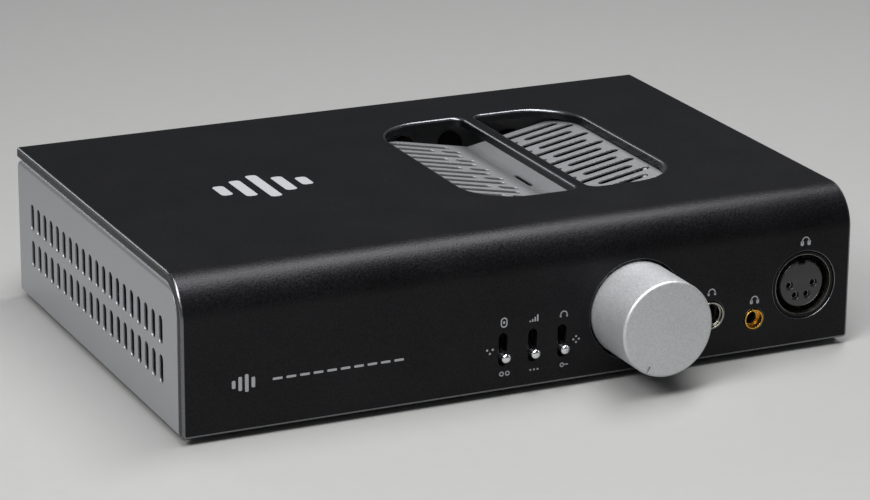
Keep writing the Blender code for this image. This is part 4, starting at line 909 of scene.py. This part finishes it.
def filterCapacitor(name, sizes):
    low, high = nodeBox(name)
    radius, height, reach = (high.x - low.x) / 2, high.z - low.z, sizes["grooveWidth"]
    rim, top, shoulder = radius - sizes["rim"], height - sizes["sink"], height - sizes["groove"]
    groove, seat = shoulder - sizes["roll"], top - sizes["disc"] - sizes["gap"]
    jacket = [(0, seat), (rim, seat)]
    jacket += softened([(rim, height), (radius, height), (radius, shoulder)], sizes["roll"], 5)
    jacket += softened([(radius, groove + reach), (radius - sizes["grooveDepth"], groove),
                        (radius, groove - reach)], 0.2, 3)
    jacket += softened([(radius, height / 2), (radius, 0), (0, 0)], 0.3)
    edge, under = rim - sizes["gap"], top - sizes["disc"]
    disc = turnedMesh(softened([(0, top), (edge, top), (edge, under), (0, under)], 0.05, 2), 48)
    for turn in (0, 90):
        long, wide = rim * sizes["scoreReach"], sizes["scoreWidth"] / 2
        score = sheetMesh([(roundedRect((-long, -wide), (long, wide), (wide * 0.95,) * 4, 3), 0.01)],
                          cutterHeight, 0.01, 1)
        lift = Matrix.Translation((0, 0, top - sizes["scoreDepth"] + cutterHeight))
        moved(score, lift @ Matrix.Rotation(math.radians(turn + sizes["scoreTurn"]), 4, "Z"))
        disc = cutAway(disc, score)
    bm = joined([(turnedMesh(jacket, 56), 0), (disc, 1)])
    moved(bm, Matrix.Translation(((low.x + high.x) / 2, (low.y + high.y) / 2, low.z)))
    newPiece(name + "_can", bm, [sleeve, canTop], "case", (name,))


for number in range(1, 5):
    filterCapacitor("filter_capacitor_%d" % number, canSizes)


# Copies on points: feet, screws and the board's small parts
print("feet, screws and board parts")
footSizes = {"chamfer": 0.8, "recess": 3.6, "recessDepth": 1.5}
screwSizes = {"base": (2.7, 1.35), "foot": (2.5, 1.1), "panel": (2.4, 1.1), "module": (1.7, 0.8)}
recessSizes = {"skirt": 0.45, "floor": 0.4, "arm": 0.6, "slot": 0.14,       # shares of a head
               "turn": 0.11}                                                  # in radians
screwInsets = {"module": 2.7, "panelEnds": 4.0, "panelBottom": 6.5, "panelTop": 5.0}
anyTurn = 3.0                       # screws stop at any angle up to this, in radians
resistorSizes = {"radius": 1.1, "length": 6.2, "cap": 1.2, "waist": 0.8, "step": 0.3}
blockSizes = {"film": (7.0, 2.6, 6.0), "chip": (9.5, 6.2, 2.6)}
boardRoom = {"left": 9, "bothEnds": 12, "lift": 0.02}
boardFields = {      # share of the board's depth, pitch, and room round the larger parts
    "resistors": ((0.55, 0.78), (9.0, 4.2), 4.5),
    "film": ((0.12, 0.5), (11.0, 6.5), 5.0),
    "chips": ((0.82, 0.95), (16.0, 9.0), 6.5),
}


def copiesTree():
    tree = newTree("copies on points", [("Geometry", "Geometry", None), ("Template", "Object", None),
                                        ("Facing", "Vector", (0, 0, 0)), ("Spin", "Float", 0.0),
                                        ("Seed", "Int", 4), ("Material", "Material", None)])
    given = addNode(tree, "NodeGroupInput").outputs
    template = addNode(tree, "GeometryNodeObjectInfo", {"Object": given["Template"]})
    copies = addNode(tree, "GeometryNodeInstanceOnPoints", {"Points": given["Geometry"],
                                                            "Instance": template.outputs["Geometry"],
                                                            "Rotation": given["Facing"]})
    angle = addNode(tree, "FunctionNodeRandomValue", {"Max": given["Spin"], "Seed": given["Seed"]},
                    data_type="FLOAT")
    axis = addNode(tree, "ShaderNodeCombineXYZ", {"Z": angle.outputs["Value"]})
    spun = addNode(tree, "GeometryNodeRotateInstances", {"Instances": copies.outputs[0],
                                                         "Rotation": axis.outputs[0], "Local Space": True})
    real = addNode(tree, "GeometryNodeRealizeInstances", {"Geometry": spun.outputs[0]})
    done = addNode(tree, "GeometryNodeSetMaterial", {"Geometry": real.outputs[0],
                                                     "Material": given["Material"]})
    addNode(tree, "NodeGroupOutput", {"Geometry": done.outputs[0]})
    return tree


copyTree = copiesTree()


def copied(name, template, points, material, stands=(), turn=(0, 0, 0), spin=0.0):
    model = newObject(name, template)
    bm = bmesh.new()
    for point in points:
        bm.verts.new(point)
    bm = runTree(copyTree, bm, {"Template": model, "Facing": [math.radians(a) for a in turn], "Spin": spin,
                                "Material": material})
    bpy.data.objects.remove(model)
    newPiece(name, bm, [material], "case", stands)


def screwHead(radius, height):
    # a domed head with a cross recess, standing on its own base
    skirt = recessSizes["skirt"]
    dome = [(radius * math.sin(a), height * (skirt + (1 - skirt) * math.cos(a)))
            for a in (math.radians(90 * i / 7) for i in range(8))]
    head = turnedMesh(dome + [(radius, 0), (0, 0)], 36)
    arm, wide = radius * recessSizes["arm"], radius * recessSizes["slot"]
    cross = [(arm, -wide), (arm, wide), (wide, wide), (wide, arm), (-wide, arm), (-wide, wide), (-arm, wide),
             (-arm, -wide), (-wide, -wide), (-wide, -arm), (wide, -arm), (wide, -wide)]
    cutter = sheetMesh([(cross, 0.02)], cutterHeight, 0.02, 1)
    lift = Matrix.Translation((0, 0, height * recessSizes["floor"] + cutterHeight))
    return cutAway(head, moved(cutter, lift @ Matrix.Rotation(recessSizes["turn"], 4, "Z")))


def footTemplate(sizes):
    low, high = nodeBox("foot_front_left")
    radius, height = (high.x - low.x) / 2, high.z - low.z
    recess, deep, chamfer = sizes["recess"], sizes["recessDepth"], sizes["chamfer"]
    profile = [(0, deep), (recess, deep), (recess, 0), (radius - chamfer, 0), (radius, chamfer),
               (radius, height), (0, height)]
    return turnedMesh(softened(profile, 0.3), 48)


def resistorTemplate(sizes):
    # a barrel between two slightly larger caps, lying along X
    radius, half, cap = sizes["radius"], sizes["length"] / 2, sizes["cap"]
    waist, inner = radius * sizes["waist"], half - cap - sizes["step"]
    profile = [(0, half), (radius, half), (radius, half - cap), (waist, inner), (waist, -inner),
               (radius, cap - half), (radius, -half), (0, -half)]
    return moved(turnedMesh(softened(profile, 0.25, 3), 16),
                 Matrix.Translation((0, 0, radius)) @ Matrix.Rotation(math.radians(90), 4, "Y"))


def blockTemplate(wide, long, tall):
    corner, topEdge, footEdge = 0.5, 0.3, 0.05
    outline = roundedRect((-wide / 2, -long / 2), (wide / 2, long / 2), (corner,) * 4, 3)
    return moved(sheetMesh([(outline, topEdge)], tall, footEdge, 2), Matrix.Translation((0, 0, tall)))


def boardPlaces(band, pitch, reach):
    # a grid over one band of the board's depth, without the places that a larger part takes
    low, high = nodeBox("main_board")
    first, last = (low.y + (high.y - low.y) * share for share in band)
    across = int((high.x - low.x - boardRoom["bothEnds"]) / pitch[0])
    grid = [(low.x + boardRoom["left"] + i * pitch[0], first + j * pitch[1]) for i in range(across)
            for j in range(int((last - first) / pitch[1]))]
    return [(x, y, high.z + boardRoom["lift"]) for x, y in grid
            if not any(near.x - reach < x < far.x + reach and near.y - reach < y < far.y + reach
                       for near, far in largeParts)]


footNodes = ["foot_%s_%s" % (end, place) for end in ("front", "rear") for place in ("left", "right")]
screwNodes = [name.replace("foot", "base_screw") for name in footNodes]
footPlaces = [Vector((*nodeMiddle(name).xy, nodeBox(name)[0].z)) for name in footNodes]
insidePlaces = [place + Vector((0, 0, footSizes["recessDepth"])) for place in footPlaces]
screwPlaces = [(*nodeMiddle(name).xy, nodeBox(name)[1].z) for name in screwNodes]
copied("rubber_feet", footTemplate(footSizes), footPlaces, rubber, footNodes)
copied("foot_screws", screwHead(*screwSizes["foot"]), insidePlaces, zincSteel, (), (180, 0, 0),
       anyTurn)
copied("base_screws", screwHead(*screwSizes["base"]), screwPlaces, screwZinc, screwNodes,
       (180, 0, 0), anyTurn)
moduleLow, moduleHigh = nodeBox("module_cover")
inset, ends = screwInsets["module"], screwInsets["panelEnds"]
modulePlaces = [(x, moduleHigh.y, z) for x in (moduleLow.x + inset, moduleHigh.x - inset)
                for z in (moduleLow.z + inset, moduleHigh.z - inset)]
panelPlaces = [(x, panelY, z) for x in (panelLow.x + ends, panelHigh.x - ends)
               for z in (baseZ + screwInsets["panelBottom"], panelHigh.z - screwInsets["panelTop"])]
for place, points in (("module", modulePlaces), ("panel", panelPlaces)):
    copied(place + "_screws", screwHead(*screwSizes[place]), points, screwZinc, (), (-90, 0, 0),
           anyTurn)
flatParts = ("wrap_cover", "inner_shell", "vent_screen", "base_tray", "rear_panel", "module_cover",
             "main_board")
largeParts = [nodeBox(name) for name in frame["nodes"] if name not in flatParts]
copied("board_resistors", resistorTemplate(resistorSizes), boardPlaces(*boardFields["resistors"]), lacquer)
copied("board_film_capacitors", blockTemplate(*blockSizes["film"]), boardPlaces(*boardFields["film"]), epoxy)
copied("board_chips", blockTemplate(*blockSizes["chip"]), boardPlaces(*boardFields["chips"]), epoxy)


# Printed marks: plain signs beside the controls and generic level bars, with no lettering
print("printed marks")
inputX, gainX, outputX = leverPlaces.values()
# places on the front run across from the middle and up from the cover's lower edge
printSizes = {"thickness": 0.04, "proud": 0.02, "belowTop": 0.002, "edge": 0.006, "line": 0.36}
pillSizes = {"place": (inputX + 0.2, 22.2), "outside": (3.3, 2.3), "inside": (2.5, 1.5), "dot": 0.42}
stairSizes = {"left": gainX - 1.3, "foot": 21.1, "pitch": 0.86, "width": 0.5, "heights": (0.5, 0.9, 1.5, 2.2)}
dashSizes = {"first": -85.4, "pitch": 4.42, "low": 14.85, "long": 3.2, "tall": 0.75, "count": 10}
smallSigns = {       # each place is followed by its widths or radius
    "headphones": ((outputX + 0.4, 22.0, 2.6, 0.6), (phoneMiddle.x + 0.1, 21.9, 2.8, 0.7),
                   (balancedMiddle.x + 0.1, 17.4, 3.0, 1.0), (xlrMiddle.x + 0.1, 34.7, 3.3, 1.15)),
    "rings": ((-9.4, 5.5, 0.8), (-7.4, 5.5, 0.8), (outputX, 5.5, 0.75)),
    "stem": ((outputX + 0.9, 5.3), (outputX + 2.1, 5.7)),
    "dots": ((-14.4, 13.9, 0.36), (-12.5, 13.9, 0.36), (-13.45, 12.7, 0.36),        # a triangle of three
             (16.2, 14.25, 0.33), (16.2, 12.35, 0.33), (17.15, 13.3, 0.33), (15.25, 13.3, 0.33),
             (gainX - 0.75, 5.4, 0.33), (gainX + 0.5, 5.4, 0.33), (gainX + 1.75, 5.4, 0.33)),
}
frontBars = (-94.8, 15.2, 8.4, 5.6, (0.45, 0.8, 1.0, 0.6))       # place, width, height, shares of it
lidBars = (-55.8, 10.1, 35, 24, (0.42, 0.72, 1.0, 0.62, 0.34))


def band(points, width):
    # a strip of even width along a line
    path = [Vector(p) for p in points]
    leftSide, rightSide = [], []
    for i, here in enumerate(path):
        way = (path[min(i + 1, len(path) - 1)] - path[max(i - 1, 0)]).normalized()
        across = Vector((-way.y, way.x)) * width / 2
        leftSide.append(tuple(here + across))
        rightSide.append(tuple(here - across))
    return rightSide + leftSide[::-1]


def headphoneMark(u, v, width, cup):
    # a headband over two cups
    radius = width / 2 - cup * 0.35
    marks = [[band(arc((u, v), radius, -18, 198, 24), printSizes["line"])]]
    for at in (u - radius, u + radius):
        marks.append([roundedRect((at - cup / 2, v - cup * 1.35), (at + cup / 2, v + cup * 0.1),
                                  (cup * 0.35,) * 4, 4)])
    return marks


def levelBars(u, v, width, height, shares):
    # upright rounded bars of different heights, side by side
    pitch = width / len(shares)
    wide = pitch * 0.56
    marks = []
    for i, share in enumerate(shares):
        left, reach = u - width / 2 + pitch * (i + 0.5) - wide / 2, height * share / 2
        marks.append([roundedRect((left, v - reach), (left + wide, v + reach), (wide * 0.35,) * 4, 5)])
    return marks


def frontSigns():
    marks = [[obround(pillSizes["place"], *pillSizes[side], 8) for side in ("outside", "inside")],
             [circle(pillSizes["place"], pillSizes["dot"], 16)]]
    for i, tall in enumerate(stairSizes["heights"]):
        left, foot = stairSizes["left"] + i * stairSizes["pitch"], stairSizes["foot"]
        marks.append([roundedRect((left, foot), (left + stairSizes["width"], foot + tall), (0.12,) * 4, 3)])
    for sizes in smallSigns["headphones"]:
        marks += headphoneMark(*sizes)
    for u, v, radius in smallSigns["rings"]:
        marks.append([circle((u, v), radius, 28), circle((u, v), radius - printSizes["line"], 28)])
    marks.append([roundedRect(*smallSigns["stem"], (0.1,) * 4, 2)])
    marks += [[circle((u, v), radius, 16)] for u, v, radius in smallSigns["dots"]]
    for i in range(dashSizes["count"]):
        left, low = dashSizes["first"] + i * dashSizes["pitch"], dashSizes["low"]
        high = (left + dashSizes["long"], low + dashSizes["tall"])
        marks.append([roundedRect((left, low), high, (0.3,) * 4, 4)])
    return marks + levelBars(*frontBars)


def printedPiece(name, marks, place):
    edge = printSizes["edge"]
    whole = joined([(sheetMesh([(loop, edge) for loop in loops], printSizes["thickness"], edge, 1), 0)
                    for loops in marks])
    newPiece(name, moved(whole, place), [ink], "case")


printedPiece("front_print", frontSigns(),
             Matrix.Translation((0, frontY - printSizes["proud"], baseZ)) @ frontFacing)
printedPiece("lid_print", levelBars(*lidBars), Matrix.Translation((0, 0, topZ - printSizes["belowTop"])))


# Camera, floor and light
print("camera and light")
cameraSizes = {"azimuth": -24.84, "elevation": 18.22, "roll": 0.377, "lens": 145.51, "distance": 1137.54,
               "target": (-1.9, -3.86, 27.3)}
lightSizes = {       # place and aim in metres, width, depth, watts
    "overhead": ((0.06, -0.12, 0.85), (0.0, -0.06, 0.0), 1.3, 0.24, 13),
    "left": ((-0.75, -0.42, 0.85), (0.0, -0.05, 0.03), 0.45, 0.45, 10.5),
    "front": ((-0.45, -1.3, 0.75), (0.05, -0.07, 0.02), 0.6, 0.4, 1.0),
    "rear": ((-0.55, 1.4, 0.7), (0.0, 0.0, 0.04), 0.8, 0.4, 3),
}
roomSizes = {"light": "#c8ccd2", "strength": 0.15, "floorRadius": 2600, "floorDepth": 20}


def addCamera(sizes):
    azimuth, elevation, roll = (math.radians(sizes[k]) for k in ("azimuth", "elevation", "roll"))
    back = Vector((math.sin(azimuth) * math.cos(elevation), -math.cos(azimuth) * math.cos(elevation),
                   math.sin(elevation)))
    right = Vector((0, 0, 1)).cross(back).normalized()
    up = back.cross(right)
    rolledRight = right * math.cos(roll) + up * math.sin(roll)
    rolledUp = up * math.cos(roll) - right * math.sin(roll)
    data = bpy.data.cameras.new("camera")
    data.sensor_width = 36
    data.lens = sizes["lens"]
    data.clip_start = 0.01
    camera = bpy.data.objects.new("camera", data)
    matrix = Matrix((rolledRight, rolledUp, back)).transposed().to_4x4()
    matrix.translation = (Vector(sizes["target"]) + back * sizes["distance"]) / 1000
    camera.matrix_world = matrix
    bpy.context.scene.collection.objects.link(camera)
    bpy.context.scene.camera = camera


def addLights(sizes):
    for name, (place, aim, width, depth, watts) in sizes.items():
        data = bpy.data.lights.new(name, "AREA")
        data.shape = "RECTANGLE"
        data.size, data.size_y, data.energy = width, depth, watts
        light = bpy.data.objects.new(name, data)
        light.location = place
        light.rotation_euler = (Vector(aim) - Vector(place)).to_track_quat("-Z", "Y").to_euler()
        bpy.context.scene.collection.objects.link(light)


def addRoom(sizes):
    world = bpy.data.worlds.new("studio")
    world.use_nodes = True
    background = world.node_tree.nodes["Background"].inputs
    background["Color"].default_value = srgb(sizes["light"])
    background["Strength"].default_value = sizes["strength"]
    bpy.context.scene.world = world
    radius, under = sizes["floorRadius"], -sizes["floorDepth"]
    disc = turnedMesh([(0, 0), (radius, 0), (radius, under), (0, under)], 96)
    floor = newObject("studio_floor", moved(disc, toMetres))
    floor.data.materials.append(floorPaint)


addCamera(cameraSizes)
addLights(lightSizes)
addRoom(roomSizes)
bpy.context.scene.view_settings.view_transform = "Standard"


# Finishes on the frame's own nodes that stay
keptFinishes = {"pot_nut": zincSteel, "volume_shaft": zincSteel}
keptFinishes.update({name: brass for name in frame["nodes"] if name.startswith("board_post")})
for name, node in frame["nodes"].items():
    node.data.materials.clear()
    node.data.materials.append(keptFinishes.get(name, nylon))
